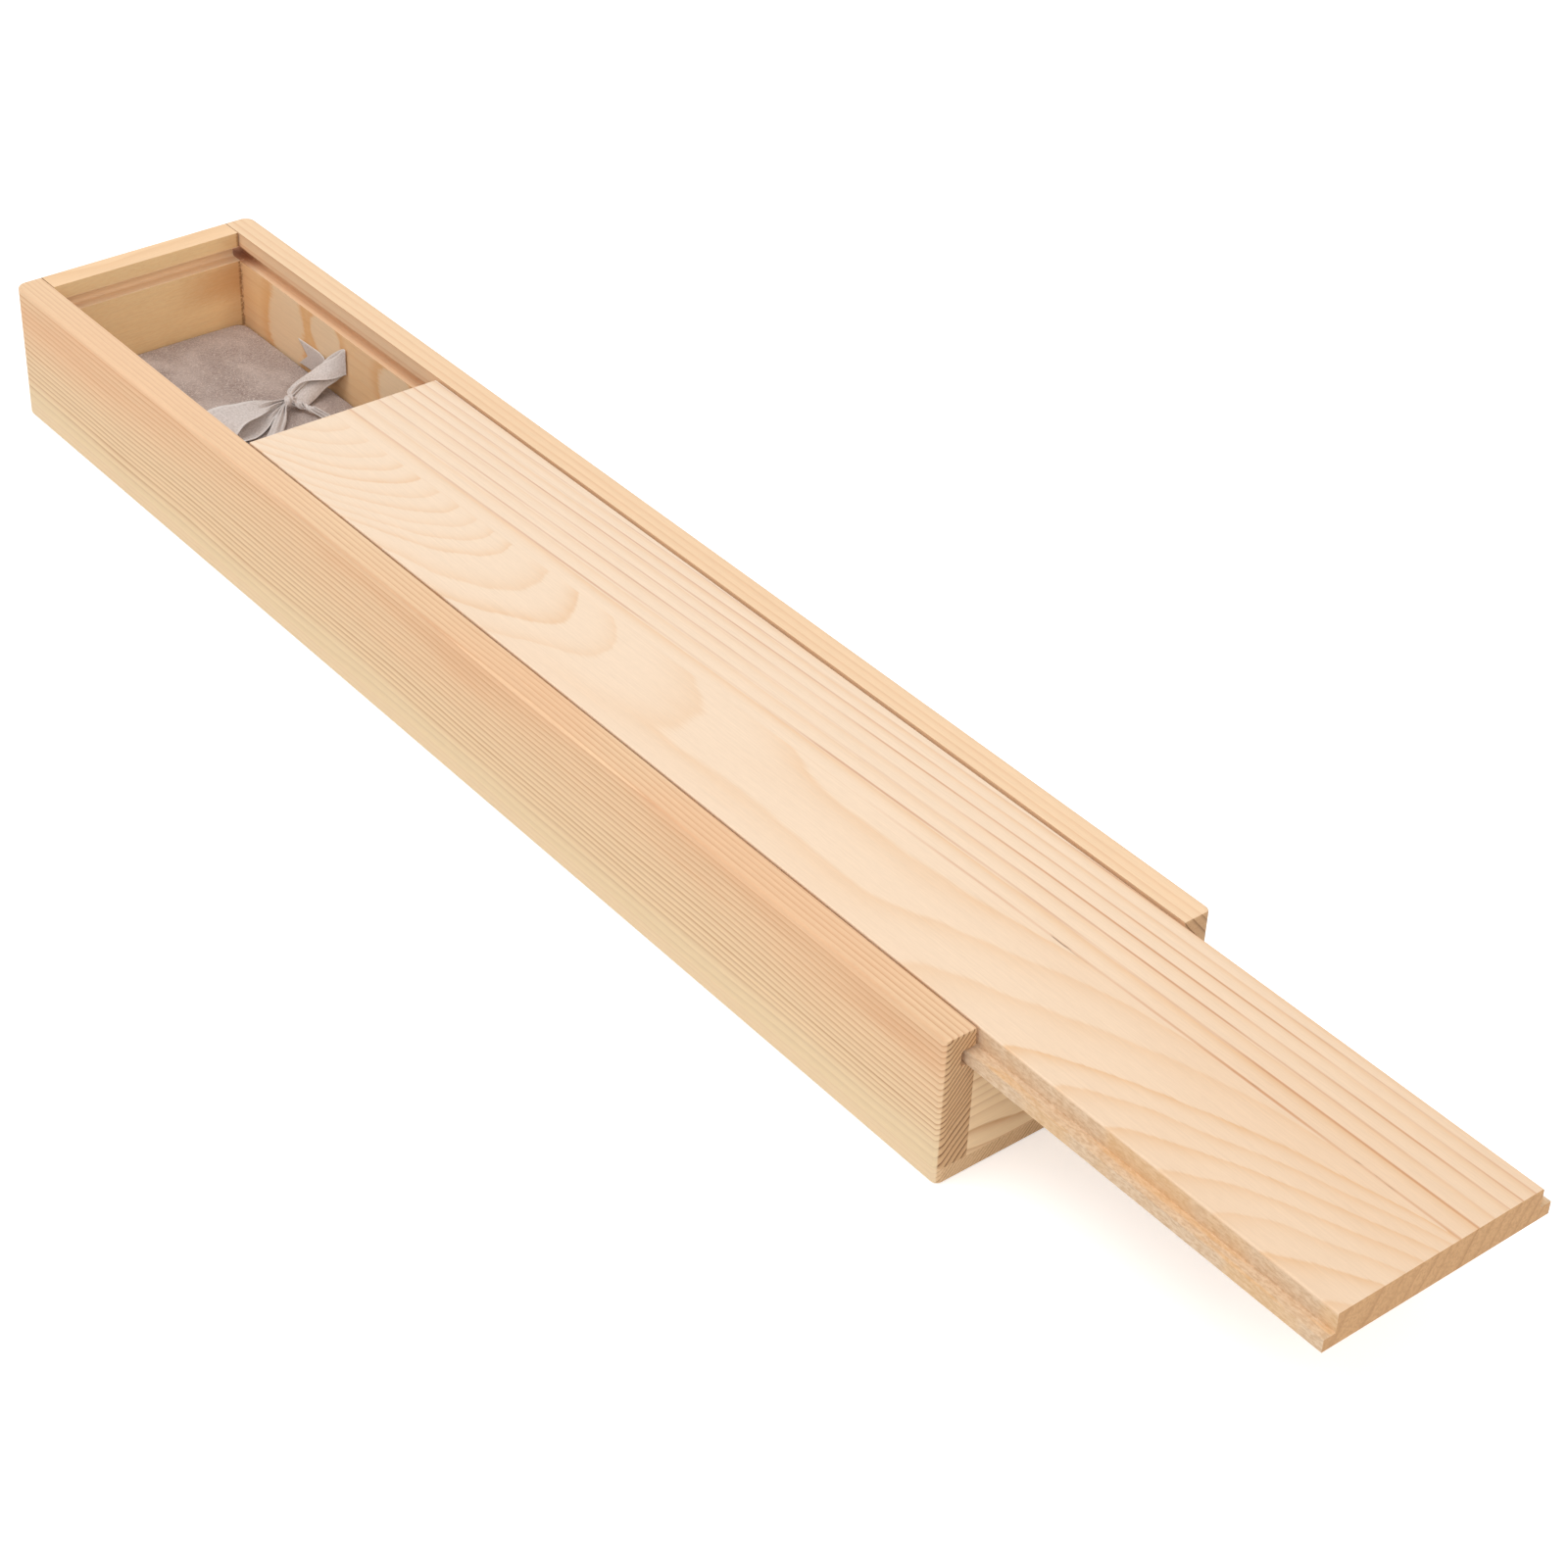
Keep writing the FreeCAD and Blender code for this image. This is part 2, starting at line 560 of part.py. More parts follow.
def make_twisted_tail():
    """The tail that is twisted on its way from the knot, under the lid."""
    body = new_body("twisted_tail")
    sections = []
    for k in range(TWIST_SECTIONS):
        sketch = new_sketch(body, f"twist_section{k}", "YZ_Plane")
        half = "(Sizes.twist_width / 2)"
        thin = "Sizes.ribbon_thickness"
        add_outline(sketch, rectangle_corners(f"-{half}", half, f"-{thin}", thin))
        sketch.AttachmentOffset.Rotation = FreeCAD.Rotation(Vector(0, 0, 1), TWIST_STEP * k)
        sketch.setExpression("AttachmentOffset.Base.z", f"Sizes.twist_length * {k} / {TWIST_SECTIONS - 1}")
        sections.append(sketch)
    doc.recompute()
    loft = body.newObject("PartDesign::AdditiveLoft", "TwistLoft")
    loft.Profile = sections[0]
    loft.Sections = sections[1:]
    doc.recompute()
    set_at_knot(body, TWISTED_TAIL_TURN, lift="Sizes.twist_width / 2")
    return body


def make_knot():
    """The knot, a short barrel round the middle of the bow."""
    body = new_body("knot")
    sketch = new_sketch(body, "knot_profile", "XZ_Plane")
    half = size("knot_length") / 2
    radius = size("knot_radius")
    end_radius = radius * 2 / 3
    left = Vector(-half, 0, 0)
    left_top = Vector(-half, end_radius, 0)
    right_top = Vector(half, end_radius, 0)
    right = Vector(half, 0, 0)
    sketch.addGeometry(Part.LineSegment(left_top, left))
    sketch.addGeometry(Part.LineSegment(left, right))
    sketch.addGeometry(Part.LineSegment(right, right_top))
    sketch.addGeometry(Part.Arc(right_top, Vector(0, radius, 0), left_top))
    for k in range(3):
        sketch.addConstraint(Sketcher.Constraint("Coincident", k, 2, k + 1, 1))
    sketch.addConstraint(Sketcher.Constraint("Coincident", 3, 2, 0, 1))
    half_length = "(Sizes.knot_length / 2)"
    end_size = "(Sizes.knot_radius * 2 / 3)"
    rise = "(Sizes.knot_radius / 3)"
    drive(sketch, Sketcher.Constraint("DistanceX", -1, 1, 0, 1, -half), f"-{half_length}")
    drive(sketch, Sketcher.Constraint("DistanceY", -1, 1, 0, 1, end_radius), end_size)
    drive(sketch, Sketcher.Constraint("DistanceX", -1, 1, 1, 1, -half), f"-{half_length}")
    drive(sketch, Sketcher.Constraint("DistanceX", -1, 1, 2, 1, half), half_length)
    drive(sketch, Sketcher.Constraint("DistanceX", -1, 1, 3, 1, half), half_length)
    drive(sketch, Sketcher.Constraint("DistanceY", -1, 1, 3, 1, end_radius), end_size)
    sketch.addConstraint(Sketcher.Constraint("PointOnObject", 1, 1, -1))
    sketch.addConstraint(Sketcher.Constraint("PointOnObject", 2, 1, -1))
    rise_now = radius / 3
    arc_guess = (half ** 2 / rise_now + rise_now) / 2
    barrel = f"({half_length} * {half_length} / {rise} + {rise}) / 2"
    drive(sketch, Sketcher.Constraint("Radius", 3, arc_guess), barrel)
    revolution = body.newObject("PartDesign::Revolution", "KnotTurn")
    revolution.Profile = sketch
    revolution.ReferenceAxis = (sketch, ["H_Axis"])
    revolution.Angle = 360
    doc.recompute()
    set_at_knot(body, KNOT_TURN, lift="Sizes.knot_radius")
    return body


def make_ribbon():
    """One length of ribbon: two loops, a knot and three tails, joined into one solid."""
    tilt_cosine = f"cos({RIGHT_LOOP_TILT} deg)"
    to_wall = "(Sizes.bow_from_wall - Sizes.ribbon_gap - Sizes.wall_loop_radius)"
    wall_reach = f"({to_wall} / {tilt_cosine} + Sizes.wall_loop_radius)"
    pieces = [
        make_knot(),
        ribbon_loop("left_loop", "Sizes.loop_reach", "Sizes.loop_radius",
                    size("loop_reach"), size("loop_radius"), LEFT_LOOP_TURN, LEFT_LOOP_TILT),
        ribbon_loop("right_loop", wall_reach, "Sizes.wall_loop_radius",
                    size("bow_from_wall"), size("wall_loop_radius"), 0, RIGHT_LOOP_TILT),
        make_wall_tail(),
        make_near_tail(),
        make_twisted_tail(),
    ]
    bow = doc.addObject("Part::MultiFuse", "ribbon_bow")
    bow.Label = "ribbon_bow"
    bow.Shapes = pieces
    return bow


pad_cover, pad_core = make_pad()
NODES = [
    make_bottom(),
    side_board("left_side", -1),
    side_board("right_side", 1),
    make_far_end(),
    make_near_end(),
    make_lid(),
    pad_cover,
    pad_core,
    make_ribbon(),
]
doc.recompute()

for item in doc.Objects:
    if "Invalid" in item.State or "Error" in item.State:
        raise RuntimeError(f"{item.Label} failed: {item.State}")
for node in NODES:
    if node.Shape.isNull() or not node.Shape.isValid():
        raise RuntimeError(f"{node.Label} has no valid solid")

os.makedirs("parts", exist_ok=True)
for node in NODES:
    node.Shape.exportStep(f"parts/{node.Label}.step")
    box = node.Shape.BoundBox
    print(f"{node.Label}: {len(node.Shape.Solids)} solid, {node.Shape.Volume:.0f} mm3, "
          f"x {box.XMin:.1f}..{box.XMax:.1f} y {box.YMin:.1f}..{box.YMax:.1f} z {box.ZMin:.1f}..{box.ZMax:.1f}")
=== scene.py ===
import math

import bpy
import numpy as np
from mathutils import Euler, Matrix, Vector


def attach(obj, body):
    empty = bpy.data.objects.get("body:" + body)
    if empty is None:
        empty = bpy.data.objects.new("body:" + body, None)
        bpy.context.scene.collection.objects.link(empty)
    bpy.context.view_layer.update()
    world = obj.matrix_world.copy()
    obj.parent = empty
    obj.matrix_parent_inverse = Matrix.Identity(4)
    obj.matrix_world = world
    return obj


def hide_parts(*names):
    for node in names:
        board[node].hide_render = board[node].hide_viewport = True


# %% [markdown]
# ## The frame
# The boards of the box come from the CAD model. This script gives them their pine, lays the velvet pad
# and the ribbon bow inside, and places the camera, floor and lights. X runs across the box, Y along it from
# the near end to the far end, and Z up from the floor. Lengths are written in millimetres, and new pieces
# are turned into metres where their mesh is made.

# %% Load the frame
MM = 0.001
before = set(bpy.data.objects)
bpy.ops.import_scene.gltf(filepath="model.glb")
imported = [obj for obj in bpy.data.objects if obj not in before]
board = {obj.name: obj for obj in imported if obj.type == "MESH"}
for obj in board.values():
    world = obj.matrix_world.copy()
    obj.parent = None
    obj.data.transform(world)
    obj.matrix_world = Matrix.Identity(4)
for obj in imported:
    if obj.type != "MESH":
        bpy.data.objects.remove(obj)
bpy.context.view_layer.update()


def extent(name):
    """The lowest and the highest corner of a CAD piece, in millimetres."""
    corners = np.array(board[name].bound_box) / MM
    return corners.min(axis=0).round(2).tolist(), corners.max(axis=0).round(2).tolist()


WALL_X = extent("right_side")[0][0]
FAR_WALL_Y = extent("far_end")[0][1]
RIM_Z = extent("left_side")[1][2]
LID_TOP_Z = extent("lid")[1][2]
# The near end is as high as the bottom of the groove that the lid runs in.
GROOVE_LOW_Z = extent("near_end")[1][2]
GROOVE_HIGH_Z = GROOVE_LOW_Z + 4.8
GROOVE_BACK_X = WALL_X + 4.5
print("CAD nodes:", ", ".join(sorted(board)))
print(f"inside, the walls are at x {WALL_X} and y {FAR_WALL_Y}, the groove from z {GROOVE_LOW_Z}")

# %% [markdown]
# ## Small tools for materials
# A finish is a tree of nodes. `Wire` lets a formula such as `2 * x + y` build those nodes, so that the
# figure of the wood can be written down as plain arithmetic.

# %% Tools for materials
def linear(colour):
    """An sRGB hex colour as the linear red, green, blue and opacity that shaders use."""
    parts = [int(colour[k:k + 2], 16) / 255 for k in (1, 3, 5)]
    return [p / 12.92 if p <= 0.04045 else ((p + 0.055) / 1.055) ** 2.4 for p in parts] + [1.0]


def add_node(tree, kind, inputs=(), **settings):
    """Add a node, set its properties, and fill or link its inputs by name or number."""
    made = tree.nodes.new(kind)
    for name, value in settings.items():
        setattr(made, name, value)
    for key, value in dict(inputs).items():
        value = value.socket if isinstance(value, Wire) else value
        if isinstance(value, bpy.types.NodeSocket):
            tree.links.new(value, made.inputs[key])
        else:
            made.inputs[key].default_value = value
    return made


class Wire:
    """A number that flows through a material. Arithmetic on wires adds Math nodes."""

    def __init__(self, tree, socket):
        self.tree = tree
        self.socket = socket

    def math(self, operation, *others, swap=False):
        values = [*others, self] if swap else [self, *others]
        made = add_node(self.tree, "ShaderNodeMath", enumerate(values), operation=operation)
        return Wire(self.tree, made.outputs[0])

    def __add__(self, other):
        return self.math("ADD", other)

    def __sub__(self, other):
        return self.math("SUBTRACT", other)

    def __rsub__(self, other):
        return self.math("SUBTRACT", other, swap=True)

    def __mul__(self, other):
        return self.math("MULTIPLY", other)

    def __truediv__(self, other):
        return self.math("DIVIDE", other)

    def __pow__(self, other):
        return self.math("POWER", other)

    def __neg__(self):
        return self.math("MULTIPLY", -1.0)

    __radd__ = __add__
    __rmul__ = __mul__

    def at_least(self, low):
        return self.math("MAXIMUM", low)

    def at_most(self, high):
        return self.math("MINIMUM", high)

    def clamped(self):
        return self.at_least(0.0).at_most(1.0)

    def step(self, start, end):
        """0 before start, 1 after end, and an even S curve between them."""
        made = add_node(self.tree, "ShaderNodeMapRange", {0: self, 1: start, 2: end},
                        interpolation_type="SMOOTHSTEP")
        return Wire(self.tree, made.outputs[0])

    def fade(self, start, end):
        """1 before start, 0 after end, and an even S curve between them."""
        return 1.0 - self.step(start, end)

    def band(self, start, full, end, gone):
        """1 from full to end, 0 before start and after gone."""
        return self.step(start, full) * self.fade(end, gone)


def combine(tree, x, y, z):
    return add_node(tree, "ShaderNodeCombineXYZ", {0: x, 1: y, 2: z}).outputs[0]


def noise(tree, place, detail=2.0, roughness=0.5):
    """Soft noise from 0 to 1, mostly near 0.5. place is three wires or numbers, and a change of 1 in
    them crosses about one spot, so x * 0.05 makes spots of about 20 mm."""
    made = add_node(tree, "ShaderNodeTexNoise",
                    {"Vector": combine(tree, *place), "Scale": 1.0, "Detail": detail, "Roughness": roughness})
    return Wire(tree, made.outputs[0])


def chance(tree, wire):
    """A random number from 0 to 1 that is the same wherever the wire has the same value."""
    made = add_node(tree, "ShaderNodeTexWhiteNoise", {"W": wire}, noise_dimensions="1D")
    return Wire(tree, made.outputs[0])


def mix(tree, share, first, second, blend="MIX"):
    """Mix two colours, each a socket or a hex colour. share is how much of the second there is."""
    first = linear(first) if isinstance(first, str) else first
    second = linear(second) if isinstance(second, str) else second
    made = add_node(tree, "ShaderNodeMix", {0: share, 6: first, 7: second},
                    data_type="RGBA", blend_type=blend)
    return made.outputs[2]


def start_material(name):
    """A new material: its tree, its shader, the place in millimetres, and the way that the face looks."""
    material = bpy.data.materials.new(name)
    material.use_nodes = True
    tree = material.node_tree
    source = add_node(tree, "ShaderNodeTexCoord")
    split = add_node(tree, "ShaderNodeSeparateXYZ", {0: source.outputs["Object"]})
    place = [Wire(tree, split.outputs[k]) * (1 / MM) for k in range(3)]
    split = add_node(tree, "ShaderNodeSeparateXYZ", {0: source.outputs["Normal"]})
    facing = [Wire(tree, split.outputs[k]) for k in range(3)]
    return material, tree, tree.nodes["Principled BSDF"], place, facing


def finish_material(tree, shader, colour, height, strength, distance, roughness):
    """Link colour and bump to the shader. distance is the depth of the bump in millimetres."""
    inputs = {"Height": height, "Strength": strength, "Distance": distance * MM}
    bump = add_node(tree, "ShaderNodeBump", inputs)
    tree.links.new(colour, shader.inputs["Base Color"])
    tree.links.new(bump.outputs[0], shader.inputs["Normal"])
    shader.inputs["Roughness"].default_value = roughness


print("material tools ready")

# %% [markdown]
# ## Pine
# A pine board is cut from growth rings. Each ring is pale early wood that darkens into a thin brown line
# of late wood and then starts again. A formula for each board counts the rings crossed at a place, so a
# whole number is a late-wood line. The same count runs over every face of the board, so the lines on a
# face meet those on its end. Fibres are fine streaks along the board. End grain is darker and speckled.

# %% Pine
def stretched(place, along, slow, fast):
    """A place for noise that is drawn out along the fibres: slow and fast are turns per millimetre."""
    return [p * (slow if axis == along else fast) for axis, p in enumerate(place)]


def late_wood(turn, sharpness, strength):
    """turn runs from 0 to 1 through a ring. The wood darkens slowly, then is pale again at once."""
    return turn ** sharpness * turn.fade(0.9, 1.0) * strength


def pine(name, count_rings, along=1, early="#f3d8b6", late="#d9a674", line=0.75, sharpness=4.0, even=0.35,
         end_early="#d8b186", end_late="#7e5433", end_line=0.9, end_speckle=0.3, tint=None, seed=0.0):
    """Planed, unvarnished pine. along is the axis that the fibres follow, and count_rings(tree, x, y, z)
    gives the ring count. line is how strong the late wood is and sharpness how thin its lines are. Their
    strengths vary from even to 1. The end_ values are for end grain. tint(tree, colour, x, y, z, facing)
    may colour parts of the board, and each board takes its noise from another place, moved by seed."""
    material, tree, shader, (x, y, z), facing = start_material(name)
    place = [x + seed, y + seed, z + seed]
    fibres = noise(tree, stretched(place, along, 0.03, 2.2), 4.0, 0.6) - 0.5
    wander = noise(tree, stretched(place, along, 0.005, 0.05), 3.0) - 0.5
    rings = count_rings(tree, x, y, z) + wander * 0.7 + fibres * 0.16
    turn = rings.math("FRACT")
    strength = even + (1.0 - even) * chance(tree, rings.math("FLOOR") + seed)
    broken = 0.6 + 0.8 * noise(tree, stretched(place, along, 0.02, 0.4))
    share = (late_wood(turn, sharpness, strength) * broken * line * 1.5).clamped()
    colour = mix(tree, share, early, late)
    blotch = noise(tree, stretched(place, along, 0.006, 0.03), 3.0)
    colour = mix(tree, blotch.step(0.45, 0.75) * 0.15, colour, "#e9b98c")
    if tint:
        colour = tint(tree, colour, x, y, z, facing)
    grain = noise(tree, stretched(place, along, 0.25, 1.6), 3.0, 0.6) - 0.5
    shade = 1.0 + fibres * 0.16 + grain * 0.1
    colour = mix(tree, 1.0, colour, combine(tree, shade, shade, shade), "MULTIPLY")

    end = facing[along].math("ABSOLUTE").step(0.6, 0.8)
    pores = noise(tree, [p * 1.5 for p in place], 4.0, 0.7)
    end_share = (late_wood(turn, sharpness * 1.8, strength) * end_line * 2.2).clamped()
    end_wood = mix(tree, end_share, end_early, end_late)
    end_wood = mix(tree, pores.step(0.42, 0.62) * end_speckle, end_wood, "#b98a5e")
    colour = mix(tree, end, colour, end_wood)
    height = fibres * (1.0 - end) + pores * end
    finish_material(tree, shader, colour, height, strength=0.3, distance=0.2, roughness=0.6)
    shader.inputs["Specular IOR Level"].default_value = 0.3
    return material


def ring_planes(across, up):
    """Rings as slanting planes. across and up are how many rings a millimetre of x and of z crosses."""
    def count(tree, x, y, z):
        return x * across + z * up + 40.0
    return count


def across_rings(spacing, swing):
    """Rings for a short board whose fibres run across the box, waving up and down by swing."""
    def count(tree, x, y, z):
        wave = noise(tree, (x * 0.02, y * 0.05, z * 0.05), 1.0) - 0.5
        return (z + wave * swing) / spacing + y * 0.08 + 40.0
    return count


def looks_back(direction):
    """1 on faces that look against an axis, given the facing along it, and 0 on the others."""
    return direction.fade(-0.6, -0.4)


pine_bottom = pine("pine_bottom", ring_planes(-0.75, 0.65), early="#ecd2ad", late="#d3a678", line=0.3,
                   end_early="#e4c298", seed=57.0)
pine_near_end = pine("pine_near_end", across_rings(3.6, 9.0), along=0, early="#f6d9b0", late="#bf8b5b",
                     line=0.7, sharpness=3.0, seed=13.0)
print("pine made for the bottom and the near end")

# %% [markdown]
# ## The left side
# The left side is quarter-cut: close, even lines run its whole length. They slant steeply on its end.

# %% The left side
RING_SPACING, LOW_RING_SPACING = 1.85, 2.8


def left_side_rings(tree, x, y, z):
    """Even lines on the outer face, slanting on the end grain, and wider apart near the bottom."""
    height = z - x * 1.1 - 60.0
    sway = noise(tree, (y * 0.011, z * 0.03, 2.0), 1.0) - 0.5
    widening = height.at_most(0.0) * (1.0 / LOW_RING_SPACING - 1.0 / RING_SPACING)
    return height / RING_SPACING + widening + sway * 1.4 + 60.0


def left_side_tint(tree, colour, x, y, z, facing):
    """Pink and orange towards the rim, a broad brown shade under it that fades towards the far end, where
    the rim itself is paler, and a pale, quiet bottom quarter."""
    drift = noise(tree, (x * 0.01, y * 0.008, z * 0.04))
    low = (z + (drift - 0.5) * 14.0).fade(7.0, 15.0)
    colour = mix(tree, low * 0.75, colour, "#ead2ab")
    warm = z.step(17.0, 38.0) * (0.4 + 0.6 * drift.step(0.38, 0.62))
    colour = mix(tree, warm * 0.5, colour, "#efb386")
    far = y.step(-80.0, 180.0)
    shade = z.band(30.0, 36.0, 41.0, 44.0) * drift.step(0.42, 0.6)
    colour = mix(tree, shade * (0.16 - far * 0.1), colour, "#b9895e")
    rim = z.step(RIM_Z - 1.5, RIM_Z - 0.5)
    return mix(tree, rim * (0.15 + far * 0.3), colour, "#fbd9b4")


pine_left = pine("pine_left_side", left_side_rings, early="#f0d2aa", late="#b9855a", line=0.74, sharpness=2.6,
                 even=0.75, end_line=1.15, end_speckle=0.2, tint=left_side_tint)
print("pine made for the left side")

# %% [markdown]
# ## The right side and the far end
# Both show their inner face. The right side is cut flat there, so that the saw has left pale patches with
# torn, orange edges in yellow tan. A patch is an ellipse, ((y - cy) / ry)^2 + ((z - cz) / rz)^2 < 1, with
# noise added to tear its edge. Both boards are darker where they meet.

# %% The right side and the far end
# Middle along the wall, half length, middle up the wall, half height. The lid hides the last three.
PALE_PATCHES = [
    (188.5, 12.0, 24.0, 15.0),
    (123.0, 11.0, 28.0, 9.0),
    (165.5, 9.0, 29.5, 7.5),
    (60.0, 40.0, 22.0, 9.0),
    (-40.0, 50.0, 26.0, 8.0),
    (-150.0, 45.0, 20.0, 11.0),
]


def right_side_tint(tree, colour, x, y, z, facing):
    """Inside: the pale patches in yellow tan, painted shade in brown where the groove runs into the far
    corner, and a dark line up the corner itself."""
    torn = noise(tree, (x * 0.1, y * 0.35, z * 1.4), 4.0, 0.7) - 0.5
    wide = noise(tree, (x * 0.02, y * 0.05, z * 0.07)) - 0.5
    field = None
    for middle_y, half_y, middle_z, half_z in PALE_PATCHES:
        along, up = (y - middle_y) / half_y, (z - middle_z) / half_z
        patch = along * along + up * up + torn * 0.9 + wide * 1.2
        field = patch if field is None else field.at_most(patch)
    inside = looks_back(facing[0])
    below_groove = z.fade(GROOVE_LOW_Z - 0.1, GROOVE_LOW_Z + 0.2)
    wall = inside * below_groove
    colour = mix(tree, wall * (0.62 + wide), colour, "#facf97")
    colour = mix(tree, wall * field.band(0.8, 1.1, 1.15, 2.4) * 0.4, colour, "#e8a964")
    colour = mix(tree, wall * field.fade(0.7, 1.15) * 0.7, colour, "#fbe2c0")
    speck = noise(tree, (x * 0.6, y * 0.6, z * 0.9), 3.0, 0.7)
    groove = z.band(GROOVE_LOW_Z - 0.4, GROOVE_LOW_Z, GROOVE_HIGH_Z + 0.2, GROOVE_HIGH_Z + 0.6)
    groove = groove * x.fade(GROOVE_BACK_X + 0.3, GROOVE_BACK_X + 0.8)
    # painted shade: the dark void at the groove's end by the far corner, drawn in brown
    groove_end_shade = groove * y.step(FAR_WALL_Y - 12.2, FAR_WALL_Y + 1.8) * speck.step(0.2, 0.45)
    colour = mix(tree, groove_end_shade * 0.75, colour, "#a85a26")
    corner = y.step(FAR_WALL_Y - 1.6, FAR_WALL_Y - 0.2) * below_groove * speck.step(0.4, 0.6)
    return mix(tree, inside * corner * 0.7, colour, "#8a5530")


def far_end_tint(tree, colour, x, y, z, facing):
    """Inside: yellow tan with a fuzzy, slanting nap, an orange cloud on the right, and a darker corner.
    The groove is painted paler: painted light that lifts the shade inside it."""
    # painted light: the groove is paler, to lift the shade that falls inside it
    groove = z.band(GROOVE_LOW_Z - 0.3, GROOVE_LOW_Z, GROOVE_HIGH_Z, GROOVE_HIGH_Z + 0.3)
    groove = groove * y.fade(FAR_WALL_Y + 5.8, FAR_WALL_Y + 6.8)
    colour = mix(tree, groove * 0.5, colour, "#fbe2bd")
    nap = noise(tree, (x * 0.35 + z * 0.5, y * 0.3, z * 1.6 - x * 0.3), 3.0, 0.6)
    inside = looks_back(facing[1]) * (1.0 - groove)
    colour = mix(tree, inside * 0.8, colour, "#ffdda6")
    colour = mix(tree, inside * nap.step(0.35, 0.7) * 0.3, colour, "#f0be80")
    cloud = x.step(4.0, 26.0) * z.band(20.0, 28.0, 32.0, 38.0)
    colour = mix(tree, inside * cloud * 0.45, colour, "#cd8748")
    colour = mix(tree, inside * x.step(22.0, WALL_X) * 0.3, colour, "#b47a48")
    corner = x.step(WALL_X - 1.0, WALL_X - 0.4) * nap.step(0.35, 0.5)
    return mix(tree, inside * corner * 0.6, colour, "#8a5530")


pine_right = pine("pine_right_side", ring_planes(0.35, 0.27), early="#f8d6b0", late="#dba06d", line=0.45,
                  sharpness=3.0, tint=right_side_tint, seed=31.0)
pine_far_end = pine("pine_far_end", across_rings(6.5, 12.0), along=0, early="#fbd5ab", late="#e0af7c",
                    line=0.25, sharpness=2.0, tint=far_end_tint, seed=71.0)
print("pine made for the right side and the far end")

# %% [markdown]
# ## The lid's figure
# The lid is cut off-centre. Its right third has straight lines about 5 mm apart. Left of the darkest line
# the rings are cut flat and make three figures, each a count of its own:
# near: f = g(y + 85 (1 - u)^1.4 - 6 ln u), arcs that leave the dark line and end square to the left edge,
# far: f = h(y - a d^2), nested arcs about an apex line, d being the distance from it,
# ridge: f = 8 + (x + 20.8) / 17, the flat top of the hump between them.
# The board shows the smallest of the three, with soft joins. u is 0 at the dark line, 1 at the left edge.
# g and h are straight lines that grow steeper towards the ends of the lid, where the arcs lie closer.

# %% The lid's figure
# The left edge of the lid's top, and the darkest line where it starts at the lid's near end.
LID_EDGE_X = -32.5
DARK_LINE_X = 5.4


def beyond_dark_line(x, y):
    """How far to the right of the darkest line a place is. The line drifts to the left along the lid."""
    drift = (y + 340.0) * 0.0127 + (y + 190.0).at_least(0.0) * 0.0133
    return x + drift - DARK_LINE_X


def straight_count(distance):
    """The straight lines' count: 6 mm apart next to the dark line, and closer towards the right edge."""
    return distance * 0.1623 + distance * distance * 0.00175


def lid_rings(tree, x, y, z):
    """The rings lean half a millimetre across for each millimetre down."""
    x = x + (LID_TOP_Z - z) * 0.5
    distance = beyond_dark_line(x, y)
    straight = straight_count(distance.at_least(0.0))
    wave = noise(tree, (x * 0.05, y * 0.03, z * 0.05)) - 0.5

    u = (-distance / (DARK_LINE_X - LID_EDGE_X)).at_least(0.02)
    bent = (1.0 - u).at_least(0.0) ** 1.4
    near_place = y + bent * 85.0 - u.math("LOGARITHM", math.e) * 6.0 + wave * 9.0 + 231.0
    near = near_place * 0.0253 + near_place.at_most(0.0) * 0.0335 + 6.0

    apex = x + 12.0 - 8.0 * y.step(-30.0, 35.0)
    left, right = apex.at_most(0.0), apex.at_least(0.0)
    towards_far = y.step(-50.0, 10.0)
    arc = left * left * (0.09 - 0.04 * towards_far) + right * right * (0.1 - 0.06 * towards_far)
    far_place = y - arc + wave * 7.0 + 50.0
    far = (7.0 - far_place * 0.0244 - far_place.at_least(0.0) * 0.0274
           - (far_place - 58.0).at_least(0.0) * 0.0581)

    ridge = (x + 20.8) / 17.0 + 8.0 + wave * 0.3
    flat_cut = near.math("SMOOTH_MIN", far, 0.9).math("SMOOTH_MIN", ridge, 0.5)
    side = distance.step(-0.1, 0.1)
    return (straight + 20.0) * side + (flat_cut + 40.0) * (1.0 - side)


def lid_tint(tree, colour, x, y, z, facing):
    """Thin dark cores on the straight lines, black flecks on the darkest, and sawn, fuzzy rabbets."""
    top = z.step(LID_TOP_Z - 0.9, LID_TOP_Z - 0.3)
    distance = beyond_dark_line(x, y)
    count = straight_count(distance)
    number = count.math("ROUND")
    from_line = (count - number).math("ABSOLUTE") * 5.0
    core = from_line.fade(0.1, 0.5) * distance.step(-1.0, -0.5)
    darkest = number.fade(0.2, 0.8)
    runs = noise(tree, (number * 3.7, y * 0.012, 0.0)).step(0.35, 0.65)
    shown = 1.0 - y.step(-190.0, -130.0) * darkest
    colour = mix(tree, core * top * shown * (0.15 + 0.6 * runs), colour, "#c9834f")
    flecks = noise(tree, (x * 1.2, y * 0.09, z * 0.5), 3.0).step(0.6, 0.72)
    colour = mix(tree, core * top * darkest * flecks * y.fade(-200.0, -150.0) * 0.7, colour, "#6d4a38")
    colour = mix(tree, y.step(-330.0, 0.0) * 0.25, colour, "#fbe9d6")
    colour = mix(tree, y.fade(-350.0, -160.0) * 0.2, colour, "#d9ae84")
    fuzz = noise(tree, (x * 1.5, y * 0.5, z * 1.5), 4.0, 0.7)
    sawn = mix(tree, fuzz.step(0.35, 0.65), "#cdab86", "#e6cbac")
    streak = noise(tree, (x * 0.5, y * 0.03, 0.0)).step(0.5, 0.6)
    sawn = mix(tree, streak * 0.35, sawn, "#e9b56f")
    return mix(tree, (1.0 - top) * 0.85, colour, sawn)


